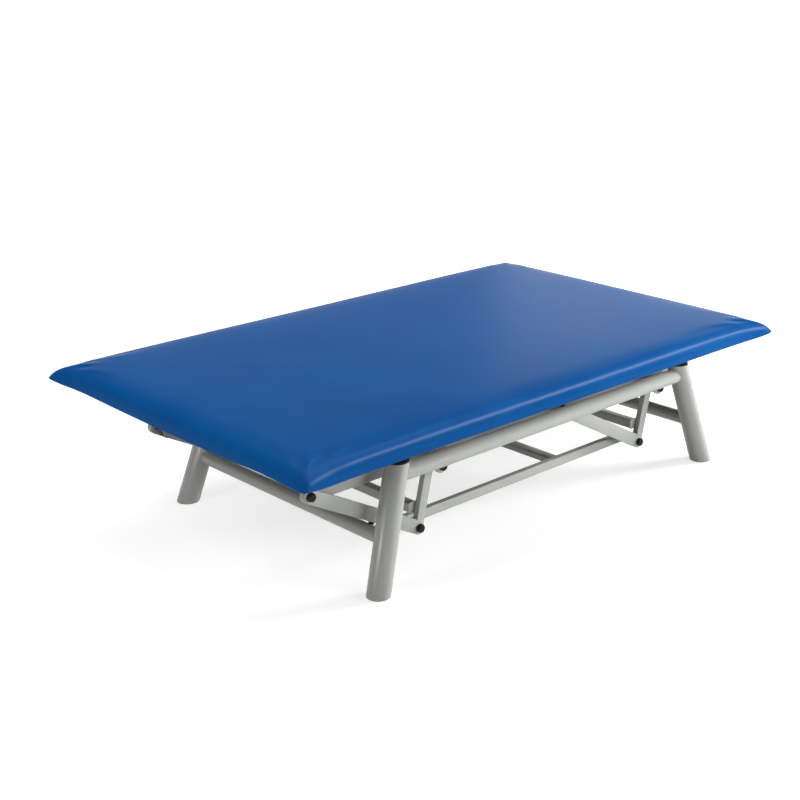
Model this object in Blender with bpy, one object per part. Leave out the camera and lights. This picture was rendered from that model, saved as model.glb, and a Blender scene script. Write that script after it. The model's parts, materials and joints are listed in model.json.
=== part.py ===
# Bobath table: a wide padded platform on a lift of paired cranks, standing on four splayed legs.
# Metres, +Z up, +X along the length. The origin is on the floor under the middle of the lowered mattress.

import math

import bmesh
import bpy
from mathutils import Matrix, Vector

GAP = 0.0003                     # clearance kept between neighbouring solids

# Mattress and the board under it
PAD_LENGTH = 2.000
PAD_WIDTH = 1.200
PAD_THICK = 0.055
PAD_ROLL = 0.043                 # radius of the rolled top edge
PAD_CORNER = 0.026               # corner radius seen from above
PAD_TUCK = 0.004                 # how far the lower edge tucks in
PAD_CROWN = 0.004                # rise of the middle over the roll
PAD_DRAW = 0.003                 # how far the sides draw in between the corners
PAD_PLATEAU = 0.230              # width of the band that crowns up to the level middle
PAD_CORNER_MIN = 0.003           # smallest corner radius left on an inner line
PAD_DRAW_SHAPE = 0.7             # under 1 spreads the drawn-in length towards the corners
PAD_CORNER_FACETS = 4
PAD_LONG_FACETS = 7              # facets along a long side and a short side
PAD_SHORT_FACETS = 5
PAD_ROLL_FACETS = 7
PAD_CROWN_FACETS = 3
BOARD_THICK = 0.018
BOARD_INSET = 0.040              # board edge inside the mattress edge

# Top frame
TOP_RAIL_BOTTOM = 0.290
TOP_RAIL_HEIGHT = 0.118
TOP_RAIL_WIDTH = 0.030
TOP_RAIL_OUTER = 0.350           # outer face off the middle plane
TOP_RAIL_PAST_HEAD = 0.027       # left end of a rail past the arm head
TOP_RAIL_PAST_HINGE = 0.175      # right end of a rail past the right hinge
TOP_WALL = 0.002
TOP_CROSS_WIDTH = 0.030
TOP_CROSS_HEIGHT = 0.060
TOP_CROSS_INSET = 0.096          # middle of the cross member from the left end of the rails
BEARER_WIDTH = 0.040
BEARER_HEIGHT = 0.030
BEARER_LENGTH = 0.980
BEARER_INSET_LEFT = 0.046        # outer bearers from the ends of the rails
BEARER_INSET_RIGHT = 0.030
BEARER_COUNT = 4

# Base
LEG_OD = 0.070
LEG_WALL = 0.003
LEG_TOP = 0.360
FOOT_OUT_LEFT = 0.307            # foot centres on the floor, out from the hinges
FOOT_OUT_RIGHT = 0.175
FOOT_SIDE = 0.455
LEAN_RATIO_X = 0.308             # lean of a leg, run over rise
LEAN_RATIO_Y = 0.121
LEG_SOLE = 0.004                 # thickness of the closed foot
LEG_CAP_DOME = 0.008
CAP_BRIM = 0.003
CAP_STEM = 0.015                 # part of a leg cap inside its tube
RAIL_OD = 0.050
RAIL_WALL = 0.0025
RAIL_Z = 0.322
CROSS_OD = 0.044
CROSS_WALL = 0.0025
CROSS_Z = 0.150

# Lift: each crank turns at its hinge under the base rail, carries the top frame at the head of its arm
# and is tied to the other cranks at its heel
HINGE_INSET_LEFT = 0.675         # hinges from the ends of the mattress
HINGE_INSET_RIGHT = 0.305
HINGE_Z = 0.284
HEAD_X = -0.474                  # arm head from the hinge
HEAD_Z = 0.036
HEEL_X = -0.071                  # heel from the hinge
HEEL_Z = -0.179
LINK_THICK = 0.020
LINK_GAP = 0.002                 # running gap between the top rail and the links
ARM_DEPTH = 0.042
STRUT_WIDTH = 0.030
STRUT_LEAN = 77.0                # degrees from the floor
EYE_R = 0.020
TORSION_WIDTH = 0.030
TORSION_HEIGHT = 0.030
TORSION_WALL = 0.0025
TORSION_X = -0.009               # middle of the torsion bar from the heel
TORSION_Z = 0.062
LUG_R = 0.022
LUG_THICK = 0.012
LUG_RISE = 0.052                 # lug top above the hinge
BUFFER_R = 0.009
PIN_R = 0.006
PIN_FLANGE_R = 0.011
PIN_FLANGE = 0.006
CAP_R = 0.013
CAP_LENGTH = 0.012

# Tie frame
TIE_OUTER = 0.310                # outer face of a tie bar off the middle plane
TIE_THICK = 0.020
TIE_HEIGHT = 0.030
TIE_CROSS_BACK = 0.334           # crossbar from the right heel
TIE_CROSS_WIDTH = 0.040
TIE_CROSS_HEIGHT = 0.020
TIE_CROSS_WALL = 0.002

# Linear actuator, lying low between the right end crossbar and the tie frame
ACT_REAR_OFFSET = 0.0388         # rear pin from the middle of the end crossbar
ACT_REAR_Z = 0.105
ACT_FRONT_OFFSET = 0.067         # front pin from the middle of the tie crossbar
ACT_FRONT_Z = 0.100
ACT_PIN_R = 0.005
ACT_EYE_R = 0.016
ACT_HOUSING_START = 0.030
ACT_HOUSING_LENGTH = 0.105
ACT_HOUSING_HEIGHT = 0.064
ACT_HOUSING_WIDTH = 0.056
ACT_TUBE_R = 0.020
ACT_TUBE_LENGTH = 0.215
ACT_TUBE_BORE_R = 0.0088
ACT_ROD_R = 0.0085
ACT_ROD_START = 0.150
ACT_MOTOR_R = 0.024
ACT_MOTOR_LENGTH = 0.125
ACT_MOTOR_PLACE = 0.6            # share of the gearbox length from its rear
SLOT_LONG = 0.0155               # half length of the lost-motion slot in the rod eye
SLOT_HIGH = 0.0130               # half height of the slot
SLOT_RIM = 0.006
SLOT_CORNER = 0.005
ROD_EYE_THICK = 0.018
CHEEK_THICK = 0.006
CLEVIS_R = 0.009
BRACKET_BACK = 0.020             # length of the bracket's back plate along its cheeks
BRACKET_WRAP = (170, 280)        # degrees of the crossbar that the bracket's cheeks hold

ROUND = 24                       # facets of a leg or rail
SMALL_ROUND = 16                 # facets of a pin or cap
ARC = 6                          # facets of a rounded end

SIDES = {"near": -1, "far": 1}
CORNERS = ((1, 1), (-1, 1), (-1, -1), (1, -1))
HINGES = {"left": HINGE_INSET_LEFT - PAD_LENGTH / 2, "right": PAD_LENGTH / 2 - HINGE_INSET_RIGHT}
FEET = {"left": (HINGES["left"] - FOOT_OUT_LEFT, LEAN_RATIO_X),
        "right": (HINGES["right"] + FOOT_OUT_RIGHT, -LEAN_RATIO_X)}

RAIL_SIDE = FOOT_SIDE - LEAN_RATIO_Y * RAIL_Z
LINK_IN = TOP_RAIL_OUTER + LINK_GAP
LINK_OUT = LINK_IN + LINK_THICK
LUG_OUT = RAIL_SIDE - RAIL_OD / 2 - GAP
LUG_IN = LUG_OUT - LUG_THICK
BEARER_Z = TOP_RAIL_BOTTOM + TOP_RAIL_HEIGHT + GAP
BOARD_Z = BEARER_Z + BEARER_HEIGHT + GAP
PAD_Z = BOARD_Z + BOARD_THICK + GAP
TOP_RAIL_LEFT = HINGES["left"] + HEAD_X - TOP_RAIL_PAST_HEAD
TOP_RAIL_RIGHT = HINGES["right"] + TOP_RAIL_PAST_HINGE
TOP_CROSS_X = TOP_RAIL_LEFT + TOP_CROSS_INSET
BEARER_FIRST = TOP_RAIL_LEFT + BEARER_INSET_LEFT
BEARER_LAST = TOP_RAIL_RIGHT - BEARER_INSET_RIGHT
TIE_CROSS_X = HINGES["right"] + HEEL_X - TIE_CROSS_BACK
ACT_REAR_X = FEET["right"][0] - LEAN_RATIO_X * CROSS_Z - ACT_REAR_OFFSET
ACT_FRONT_X = TIE_CROSS_X + ACT_FRONT_OFFSET
STRUT_DIR = Vector((math.cos(math.radians(STRUT_LEAN)), 0, math.sin(math.radians(STRUT_LEAN))))
STRUT_RIGHT = Vector((STRUT_DIR.z, 0, -STRUT_DIR.x))


# Finishes: base colour, roughness, metallic
FINISHES = {
    "grey_paint": ((0.42, 0.44, 0.46), 0.35, 0.2),
    "black_plastic": ((0.012, 0.012, 0.013), 0.45, 0.0),
    "black_rubber": ((0.015, 0.015, 0.015), 0.8, 0.0),
    "black_bolt": ((0.012, 0.012, 0.013), 0.4, 0.3),
    "zinc_steel": ((0.55, 0.56, 0.58), 0.3, 1.0),
    "blue_vinyl": ((0.012, 0.094, 0.305), 0.38, 0.0),
    "birch_plywood": ((0.52, 0.38, 0.22), 0.6, 0.0),
    "aluminium": ((0.6, 0.61, 0.62), 0.32, 1.0),
}


def make_materials():
    made = {}
    for name, (colour, roughness, metallic) in FINISHES.items():
        material = bpy.data.materials.new(name)
        material.use_nodes = True
        shader = material.node_tree.nodes["Principled BSDF"]
        shader.inputs["Base Color"].default_value = (*colour, 1)
        shader.inputs["Roughness"].default_value = roughness
        shader.inputs["Metallic"].default_value = metallic
        made[name] = material
    return made


def pivot(name, x, z):
    empty = bpy.data.objects.new(name, None)
    empty.location = (x, 0, z)
    bpy.context.scene.collection.objects.link(empty)
    return empty


def add(name, bm, finish, parent):
    bmesh.ops.recalc_face_normals(bm, faces=bm.faces)
    mesh = bpy.data.meshes.new(name)
    bm.to_mesh(mesh)
    bm.free()
    mesh.materials.append(materials[finish])
    mesh.shade_smooth()
    mesh.set_sharp_from_angle(angle=math.radians(35))
    obj = bpy.data.objects.new(name, mesh)
    bpy.context.scene.collection.objects.link(obj)
    obj.parent = parent
    obj.matrix_parent_inverse = Matrix.Translation(-parent.location)
    return obj


# Sections and outlines, as lists of 2-D points

def circle(radius, count):
    return [(radius * math.cos(2 * math.pi * i / count), radius * math.sin(2 * math.pi * i / count))
            for i in range(count)]


def box_section(width, height):
    return [(sx * width / 2, sy * height / 2) for sx, sy in CORNERS]


def arc(centre, radius, start, end, count=ARC):
    return [(centre[0] + radius * math.cos(math.radians(start + (end - start) * i / count)),
             centre[1] + radius * math.sin(math.radians(start + (end - start) * i / count)))
            for i in range(count + 1)]


# Solids

def tube(bm, start, direction, across, outer, inner, cut_start, cut_end):
    # Each line of the wall runs along the direction between its own two cuts, so ends can be coped
    direction = direction.normalized()
    up = direction.cross(across).normalized()
    across = up.cross(direction).normalized()
    rings = []
    for section in (outer, inner):
        lines = [start + across * u + up * v for u, v in section]
        rings.append([bm.verts.new(p + direction * cut_start(p, direction)) for p in lines])
        rings.append([bm.verts.new(p + direction * cut_end(p, direction)) for p in lines])
    outer_a, outer_b, inner_a, inner_b = rings
    for one, two in ((outer_a, outer_b), (outer_b, inner_b), (inner_b, inner_a), (inner_a, outer_a)):
        for i in range(len(one)):
            j = (i + 1) % len(one)
            bm.faces.new((one[i], one[j], two[j], two[i]))


def at(distance):
    return lambda point, direction: distance


def against(axis_point, axis, radius, far_side):
    # Where a line meets a round tube: the near side of it, or the far side for a line that starts there
    axis = axis.normalized()

    def meet(point, direction):
        offset = point - axis_point
        d = direction - axis * direction.dot(axis)
        o = offset - axis * offset.dot(axis)
        half = o.dot(d)
        root = math.sqrt(half * half - d.dot(d) * (o.dot(o) - radius * radius))
        return (-half + root if far_side else -half - root) / d.dot(d)
    return meet


def plate(bm, outline, y_from, y_to, holes=()):
    # A flat outline in X and Z, with holes, given its thickness along Y
    edges = []
    for loop in (outline, *holes):
        verts = [bm.verts.new((x, y_from, z)) for x, z in loop]
        edges += [bm.edges.new((verts[i - 1], verts[i])) for i in range(len(verts))]
    filled = bmesh.ops.triangle_fill(bm, use_beauty=True, use_dissolve=False, edges=edges)
    faces = [item for item in filled["geom"] if isinstance(item, bmesh.types.BMFace)]
    grown = bmesh.ops.extrude_face_region(bm, geom=faces, use_keep_orig=True)
    moved = [item for item in grown["geom"] if isinstance(item, bmesh.types.BMVert)]
    bmesh.ops.translate(bm, verts=moved, vec=(0, y_to - y_from, 0))


def turned(bm, origin, axis, profile, count=SMALL_ROUND):
    # A round solid: profile points are (radius, distance along the axis), from end to end
    axis = axis.normalized()
    across = axis.orthogonal().normalized()
    up = axis.cross(across)
    rings = []
    for radius, distance in profile:
        middle = origin + axis * distance
        rings.append([bm.verts.new(middle + across * u + up * v) for u, v in circle(radius, count)])
    for one, two in zip(rings, rings[1:]):
        for i in range(count):
            j = (i + 1) % count
            bm.faces.new((one[i], one[j], two[j], two[i]))
    bm.faces.new(rings[0])
    bm.faces.new(rings[-1])


def block(bm, low, high):
    middle = (Vector(low) + Vector(high)) / 2
    size = Vector(high) - Vector(low)
    bmesh.ops.create_cube(bm, size=1, matrix=Matrix.Translation(middle) @ Matrix.Diagonal((*size, 1)))


def hole(x, z, radius, count=SMALL_ROUND):
    return [(x + u, z + v) for u, v in circle(radius, count)]


def moved_outline(origin, right, along, points):
    return [(origin.x + right.x * r + along.x * a, origin.z + right.z * r + along.z * a) for r, a in points]


# Base

def leg_axis(end, side):
    foot, lean = FEET[end]
    return Vector((foot, side * FOOT_SIDE, 0)), Vector((lean, -side * LEAN_RATIO_Y, 1)).normalized()


def leg_x(end, z):
    foot, lean = FEET[end]
    return foot + lean * z


def level_rings(bm, foot, axis, levels):
    # Level rings on a leaning round tube's own lines, closed at both ends
    up = axis.cross(Vector((1, 0, 0))).normalized()
    across = up.cross(axis).normalized()
    rings = []
    for section, z in levels:
        lines = [foot + across * u + up * v for u, v in section]
        rings.append([bm.verts.new(p + axis * ((z - p.z) / axis.z)) for p in lines])
    for one, two in zip(rings, rings[1:]):
        for i in range(len(one)):
            j = (i + 1) % len(one)
            bm.faces.new((one[i], one[j], two[j], two[i]))
    bm.faces.new(rings[0])
    bm.faces.new(rings[-1])


def make_legs(base):
    # Each leg is a tube with a closed sole, cut level at the floor and at the top, where a cap plugs it
    inner_r = LEG_OD / 2 - LEG_WALL
    outer, inner = circle(LEG_OD / 2, ROUND), circle(inner_r, ROUND)
    stem, dome = circle(inner_r - GAP, ROUND), circle(LEG_OD / 2 - LEG_CAP_DOME, ROUND)
    brim = LEG_TOP + GAP
    for side_name, side in SIDES.items():
        for end in FEET:
            foot, axis = leg_axis(end, side)
            bm = bmesh.new()
            level_rings(bm, foot, axis, ((outer, 0), (outer, LEG_TOP), (inner, LEG_TOP), (inner, LEG_SOLE)))
            add(f"leg_{side_name}_{end}", bm, "grey_paint", base)
            bm = bmesh.new()
            level_rings(bm, foot, axis, ((stem, LEG_TOP - CAP_STEM), (stem, brim), (outer, brim),
                                         (outer, brim + CAP_BRIM), (dome, brim + LEG_CAP_DOME)))
            add(f"leg_cap_{side_name}_{end}", bm, "black_plastic", base)


def make_base_tubes(base):
    fit_r = LEG_OD / 2 + GAP
    for side_name, side in SIDES.items():
        bm = bmesh.new()
        tube(bm, Vector((0, side * RAIL_SIDE, RAIL_Z)), Vector((1, 0, 0)), Vector((0, 1, 0)),
             circle(RAIL_OD / 2, ROUND), circle(RAIL_OD / 2 - RAIL_WALL, ROUND),
             against(*leg_axis("left", side), fit_r, True), against(*leg_axis("right", side), fit_r, False))
        add(f"side_rail_{side_name}", bm, "grey_paint", base)
    for end in FEET:
        bm = bmesh.new()
        tube(bm, Vector((leg_x(end, CROSS_Z), 0, CROSS_Z)), Vector((0, 1, 0)), Vector((1, 0, 0)),
             circle(CROSS_OD / 2, ROUND), circle(CROSS_OD / 2 - CROSS_WALL, ROUND),
             against(*leg_axis(end, -1), fit_r, True), against(*leg_axis(end, 1), fit_r, False))
        add(f"end_crossbar_{end}", bm, "grey_paint", base)


def make_hinges(base):
    for end, x in HINGES.items():
        top = HINGE_Z + LUG_RISE
        outline = [(x + LUG_R, top), (x - LUG_R, top), *arc((x, HINGE_Z), LUG_R, 180, 360)]
        for side_name, side in SIDES.items():
            bm = bmesh.new()
            plate(bm, outline, side * LUG_IN, side * LUG_OUT, [hole(x, HINGE_Z, PIN_R + GAP)])
            add(f"hinge_lug_{side_name}_{end}", bm, "grey_paint", base)
            bm = bmesh.new()
            profile = ((PIN_R, LINK_IN), *capped(LUG_OUT + GAP))
            turned(bm, Vector((x, 0, HINGE_Z)), Vector((0, side, 0)), profile)
            add(f"hinge_bolt_{side_name}_{end}", bm, "black_bolt", base)


def capped(start):
    # The outer end of a bolt: its stem up to the face it clamps, then its round cap
    round_over = CAP_LENGTH / 4
    return ((PIN_R, start), (CAP_R, start), (CAP_R, start + CAP_LENGTH - round_over),
            (CAP_R - round_over, start + CAP_LENGTH))


# Cranks

def crank_points(end):
    hinge = Vector((HINGES[end], 0, HINGE_Z))
    return hinge, hinge + Vector((HEAD_X, 0, HEAD_Z)), hinge + Vector((HEEL_X, 0, HEEL_Z))


def strut_outline(hinge, heel):
    half = STRUT_WIDTH / 2
    eye = (STRUT_RIGHT.dot(hinge - heel), STRUT_DIR.dot(hinge - heel))
    meet = math.degrees(math.acos((half - eye[0]) / EYE_R))
    top = eye[1] + EYE_R * math.sin(math.radians(meet))
    points = [*arc((0, 0), half, 180, 360), *arc(eye, EYE_R, -meet, meet, 2 * ARC), (-half, top)]
    return moved_outline(heel, STRUT_RIGHT, STRUT_DIR, points)


def arm_outline(head, heel):
    # Round at the head, cut at the strut's left edge
    along = (heel - head).normalized()
    below = Vector((along.z, 0, -along.x))
    reach = (heel - head).length
    half = ARM_DEPTH / 2
    slope = STRUT_RIGHT.dot(along)
    ends = []
    for offset in (half, -half):
        ends.append((reach + (-STRUT_WIDTH / 2 - GAP - offset * STRUT_RIGHT.dot(below)) / slope, offset))
    points = [(offset, a) for a, offset in ends]
    points += arc((0, 0), half, 180, 360, 2 * ARC)
    return moved_outline(head, below, along, points)


def make_crank(end, body):
    hinge, head, heel = crank_points(end)
    tie_in = TIE_OUTER - TIE_THICK - GAP
    tie_out = TIE_OUTER + GAP
    for side_name, side in SIDES.items():
        bm = bmesh.new()
        plate(bm, arm_outline(head, heel), side * LINK_IN, side * LINK_OUT,
              [hole(head.x, head.z, PIN_R + GAP)])
        add(f"crank_arm_{side_name}_{end}", bm, "grey_paint", body)
        bm = bmesh.new()
        plate(bm, strut_outline(hinge, heel), side * LINK_IN, side * LINK_OUT,
              [hole(heel.x, heel.z, PIN_R + GAP), hole(hinge.x, hinge.z, PIN_R + GAP)])
        add(f"crank_strut_{side_name}_{end}", bm, "grey_paint", body)
        bm = bmesh.new()
        stem = ((PIN_FLANGE_R, tie_in - PIN_FLANGE), (PIN_FLANGE_R, tie_in), (PIN_R, tie_in),
                (PIN_R, tie_out), (PIN_FLANGE_R, tie_out), (PIN_FLANGE_R, LINK_IN - GAP),
                (PIN_R, LINK_IN - GAP))
        turned(bm, heel, Vector((0, side, 0)), stem + capped(LINK_OUT + GAP))
        add(f"heel_bolt_{side_name}_{end}", bm, "black_bolt", body)
    bm = bmesh.new()
    reach = LINK_IN - GAP
    inside = box_section(TORSION_WIDTH - 2 * TORSION_WALL, TORSION_HEIGHT - 2 * TORSION_WALL)
    tube(bm, heel + Vector((TORSION_X, 0, TORSION_Z)), Vector((0, 1, 0)), Vector((1, 0, 0)),
         box_section(TORSION_WIDTH, TORSION_HEIGHT), inside, at(-reach), at(reach))
    add(f"torsion_bar_{end}", bm, "grey_paint", body)


def make_buffers(body):
    # Rubber stops under the left arms, standing on the left end crossbar when the table is down
    hinge, head, heel = crank_points("left")
    along = (heel - head).normalized()
    below = Vector((along.z, 0, -along.x))
    bar = Vector((leg_x("left", CROSS_Z), 0, CROSS_Z))
    start = ARM_DEPTH / 2 + GAP
    end = below.dot(bar - head) - CROSS_OD / 2 - GAP
    for side_name, side in SIDES.items():
        seat = head + along * along.dot(bar - head) + Vector((0, side * (LINK_IN + LINK_OUT) / 2, 0))
        bm = bmesh.new()
        turned(bm, seat, below, ((BUFFER_R, start), (BUFFER_R, end)))
        add(f"stop_buffer_{side_name}", bm, "black_rubber", body)


# Tie frame

def make_tie_frame(body):
    left, right = crank_points("left")[2], crank_points("right")[2]
    half = TIE_HEIGHT / 2
    outline = [*arc((left.x, left.z), half, 90, 270), *arc((right.x, right.z), half, -90, 90)]
    holes = [hole(p.x, p.z, PIN_R + GAP) for p in (left, right)]
    tie_in = TIE_OUTER - TIE_THICK
    for side_name, side in SIDES.items():
        bm = bmesh.new()
        plate(bm, outline, side * tie_in, side * TIE_OUTER, holes)
        add(f"tie_bar_{side_name}", bm, "grey_paint", body)
    bm = bmesh.new()
    inside = box_section(TIE_CROSS_WIDTH - 2 * TIE_CROSS_WALL, TIE_CROSS_HEIGHT - 2 * TIE_CROSS_WALL)
    reach = tie_in - GAP
    tube(bm, Vector((TIE_CROSS_X, 0, left.z)), Vector((0, 1, 0)), Vector((1, 0, 0)),
         box_section(TIE_CROSS_WIDTH, TIE_CROSS_HEIGHT), inside, at(-reach), at(reach))
    add("tie_crossbar", bm, "grey_paint", body)
    face = TIE_CROSS_X + TIE_CROSS_WIDTH / 2 + GAP
    half = TIE_CROSS_HEIGHT / 2
    front = (ACT_FRONT_X, ACT_FRONT_Z)
    outline = [(face, left.z + half), (face, left.z - half), *arc(front, CLEVIS_R, -90, 90)]
    cheek = ROD_EYE_THICK / 2 + GAP
    back = (Vector((face, 0, left.z - half)), Vector((face + CHEEK_THICK, 0, left.z + half)))
    fork("actuator_clevis", outline, front, cheek, back, body)
    bm = bmesh.new()
    reach = cheek + CHEEK_THICK
    profile = ((ACT_PIN_R, -reach), (ACT_PIN_R, reach))
    turned(bm, Vector((ACT_FRONT_X, 0, ACT_FRONT_Z)), Vector((0, 1, 0)), profile)
    add("clevis_pin", bm, "zinc_steel", body)


def fork(name, outline, eye, cheek, back, body):
    # Two cheeks round an eye, joined by a back plate
    bm = bmesh.new()
    for side in SIDES.values():
        plate(bm, outline, side * cheek, side * (cheek + CHEEK_THICK), [hole(*eye, ACT_PIN_R + GAP)])
    made = add(name, bm, "grey_paint", body)
    reach = cheek + CHEEK_THICK / 2
    bm = bmesh.new()
    block(bm, (back[0].x, -reach, back[0].z), (back[1].x, reach, back[1].z))
    bridge = add(f"{name}_back", bm, "grey_paint", body)
    bridge.hide_render = True
    bridge.display_type = "WIRE"
    union = made.modifiers.new("back plate", "BOOLEAN")
    union.operation = "UNION"
    union.object = bridge


# Actuator

def actuator_axis():
    rear = Vector((ACT_REAR_X, 0, ACT_REAR_Z))
    front = Vector((ACT_FRONT_X, 0, ACT_FRONT_Z))
    return rear, front, (front - rear).normalized()


def make_actuator_bracket(base):
    # Cheeks welded to the left of the right end crossbar, with the back plate under the bar
    rear = (ACT_REAR_X, ACT_REAR_Z)
    bar = (leg_x("right", CROSS_Z), CROSS_Z)
    fit_r = CROSS_OD / 2 + GAP
    upper, lower = BRACKET_WRAP
    low = (bar[0] + fit_r * math.cos(math.radians(lower)), CROSS_Z - fit_r - BRACKET_BACK)
    outline = [*arc(rear, ACT_EYE_R, 135, 270), low, *arc(bar, fit_r, lower, upper)]
    cheek = ACT_HOUSING_WIDTH / 2 + GAP
    back = (Vector((low[0] - CHEEK_THICK, 0, low[1] + CHEEK_THICK)),
            Vector((low[0], 0, CROSS_Z - fit_r - CHEEK_THICK)))
    fork("actuator_bracket", outline, rear, cheek, back, base)
    pin = bmesh.new()
    reach = cheek + CHEEK_THICK
    profile = ((ACT_PIN_R, -reach), (ACT_PIN_R, reach))
    turned(pin, Vector((ACT_REAR_X, 0, ACT_REAR_Z)), Vector((0, 1, 0)), profile)
    add("bracket_pin", pin, "zinc_steel", base)


def make_actuator(body, rod_body):
    rear, front, along = actuator_axis()
    right = Vector((-along.z, 0, along.x))
    half = ACT_HOUSING_HEIGHT / 2
    housing_end = ACT_HOUSING_START + ACT_HOUSING_LENGTH
    points = [*arc((0, 0), ACT_EYE_R, 180, 360), (ACT_EYE_R, ACT_HOUSING_START), (half, ACT_HOUSING_START),
              (half, housing_end), (-half, housing_end), (-half, ACT_HOUSING_START),
              (-ACT_EYE_R, ACT_HOUSING_START)]
    bm = bmesh.new()
    side = ACT_HOUSING_WIDTH / 2
    plate(bm, moved_outline(rear, right, along, points), -side, side, [hole(rear.x, rear.z, ACT_PIN_R + GAP)])
    add("actuator_gearbox", bm, "black_plastic", body)
    bm = bmesh.new()
    middle = rear + along * (ACT_HOUSING_START + ACT_HOUSING_LENGTH * ACT_MOTOR_PLACE)
    start = side + GAP
    profile = ((ACT_MOTOR_R, start), (ACT_MOTOR_R, start + ACT_MOTOR_LENGTH))
    turned(bm, middle, Vector((0, 1, 0)), profile, ROUND)
    add("actuator_motor", bm, "black_plastic", body)
    tube_start = housing_end + GAP
    bm = bmesh.new()
    tube(bm, rear, along, Vector((0, 1, 0)), circle(ACT_TUBE_R, ROUND), circle(ACT_TUBE_BORE_R, ROUND),
         at(tube_start), at(tube_start + ACT_TUBE_LENGTH))
    add("actuator_tube", bm, "aluminium", body)
    # The push rod ends in an eye with a lost-motion slot, so a blocked table top is never pulled down
    points = rounded_box(SLOT_HIGH + SLOT_RIM, SLOT_LONG + SLOT_RIM, SLOT_CORNER + SLOT_RIM)
    slot = rounded_box(SLOT_HIGH, SLOT_LONG, SLOT_CORNER)
    bm = bmesh.new()
    half = ROD_EYE_THICK / 2
    plate(bm, moved_outline(front, right, along, points), -half, half,
          [moved_outline(front, right, along, slot)])
    made = add("push_rod", bm, "zinc_steel", rod_body)
    length = (front - rear).length
    bm = bmesh.new()
    turned(bm, rear, along, ((ACT_ROD_R, ACT_ROD_START), (ACT_ROD_R, length - SLOT_LONG - SLOT_RIM / 2)))
    stem = add("push_rod_stem", bm, "zinc_steel", rod_body)
    stem.hide_render = True
    stem.display_type = "WIRE"
    union = made.modifiers.new("stem", "BOOLEAN")
    union.operation = "UNION"
    union.object = stem


def rounded_box(half_width, half_height, radius):
    points = []
    for turn, (sx, sy) in enumerate(CORNERS):
        middle = (sx * (half_width - radius), sy * (half_height - radius))
        points += arc(middle, radius, 90 * turn, 90 * turn + 90)
    return points


# Top frame, board and mattress

def make_top_frame(body):
    middle_z = TOP_RAIL_BOTTOM + TOP_RAIL_HEIGHT / 2
    rail_y = TOP_RAIL_OUTER - TOP_RAIL_WIDTH / 2
    inner_width = TOP_RAIL_WIDTH - 2 * TOP_WALL
    inner_height = TOP_RAIL_HEIGHT - 2 * TOP_WALL
    for side_name, side in SIDES.items():
        bm = bmesh.new()
        tube(bm, Vector((0, side * rail_y, middle_z)), Vector((1, 0, 0)), Vector((0, 1, 0)),
             box_section(TOP_RAIL_WIDTH, TOP_RAIL_HEIGHT), box_section(inner_width, inner_height),
             at(TOP_RAIL_LEFT), at(TOP_RAIL_RIGHT))
        add(f"top_rail_{side_name}", bm, "grey_paint", body)
    reach = TOP_RAIL_OUTER - TOP_RAIL_WIDTH - GAP
    bm = bmesh.new()
    middle = Vector((TOP_CROSS_X, 0, TOP_RAIL_BOTTOM + TOP_CROSS_HEIGHT / 2))
    tube(bm, middle, Vector((0, 1, 0)), Vector((1, 0, 0)), box_section(TOP_CROSS_WIDTH, TOP_CROSS_HEIGHT),
         box_section(TOP_CROSS_WIDTH - 2 * TOP_WALL, TOP_CROSS_HEIGHT - 2 * TOP_WALL), at(-reach), at(reach))
    add("top_cross_member", bm, "grey_paint", body)
    for end in HINGES:
        head = crank_points(end)[1]
        for side_name, side in SIDES.items():
            bm = bmesh.new()
            profile = ((PIN_R, TOP_RAIL_OUTER + GAP), *capped(LINK_OUT + GAP))
            turned(bm, head, Vector((0, side, 0)), profile)
            add(f"head_bolt_{side_name}_{end}", bm, "black_bolt", body)


def bearer_places():
    step = (BEARER_LAST - BEARER_FIRST) / (BEARER_COUNT - 1)
    return [BEARER_FIRST + step * i for i in range(BEARER_COUNT)]


def make_platform(body):
    for number, x in enumerate(bearer_places(), 1):
        bm = bmesh.new()
        tube(bm, Vector((x, 0, BEARER_Z + BEARER_HEIGHT / 2)), Vector((0, 1, 0)), Vector((1, 0, 0)),
             box_section(BEARER_WIDTH, BEARER_HEIGHT),
             box_section(BEARER_WIDTH - 2 * TOP_WALL, BEARER_HEIGHT - 2 * TOP_WALL),
             at(-BEARER_LENGTH / 2), at(BEARER_LENGTH / 2))
        add(f"bearer_{number}", bm, "grey_paint", body)
    bm = bmesh.new()
    half_x, half_y = PAD_LENGTH / 2 - BOARD_INSET, PAD_WIDTH / 2 - BOARD_INSET
    block(bm, (-half_x, -half_y, BOARD_Z), (half_x, half_y, BOARD_Z + BOARD_THICK))
    add("board", bm, "birch_plywood", body)


def pad_ring(inset, z):
    # One level line round the mattress: straight sides drawn in a little between round corners
    radius = max(PAD_CORNER - inset, PAD_CORNER_MIN)
    half_x, half_y = PAD_LENGTH / 2 - inset, PAD_WIDTH / 2 - inset
    points = []
    for turn, (sx, sy) in enumerate(CORNERS):
        middle = (sx * (half_x - radius), sy * (half_y - radius))
        points += arc(middle, radius, 90 * turn, 90 * turn + 90, PAD_CORNER_FACETS)
        end = points[-1]
        nx, ny = CORNERS[(turn + 1) % 4]
        start = (nx * half_x, ny * (half_y - radius)) if turn % 2 else (nx * (half_x - radius), ny * half_y)
        inward = ((0, -1), (1, 0), (0, 1), (-1, 0))[turn]
        steps = PAD_SHORT_FACETS if turn % 2 else PAD_LONG_FACETS
        for i in range(1, steps):
            s = i / steps
            draw = PAD_DRAW * math.sin(math.pi * s) ** PAD_DRAW_SHAPE
            points.append((end[0] + (start[0] - end[0]) * s + inward[0] * draw,
                           end[1] + (start[1] - end[1]) * s + inward[1] * draw))
    return [(x, y, z) for x, y in points]


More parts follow.
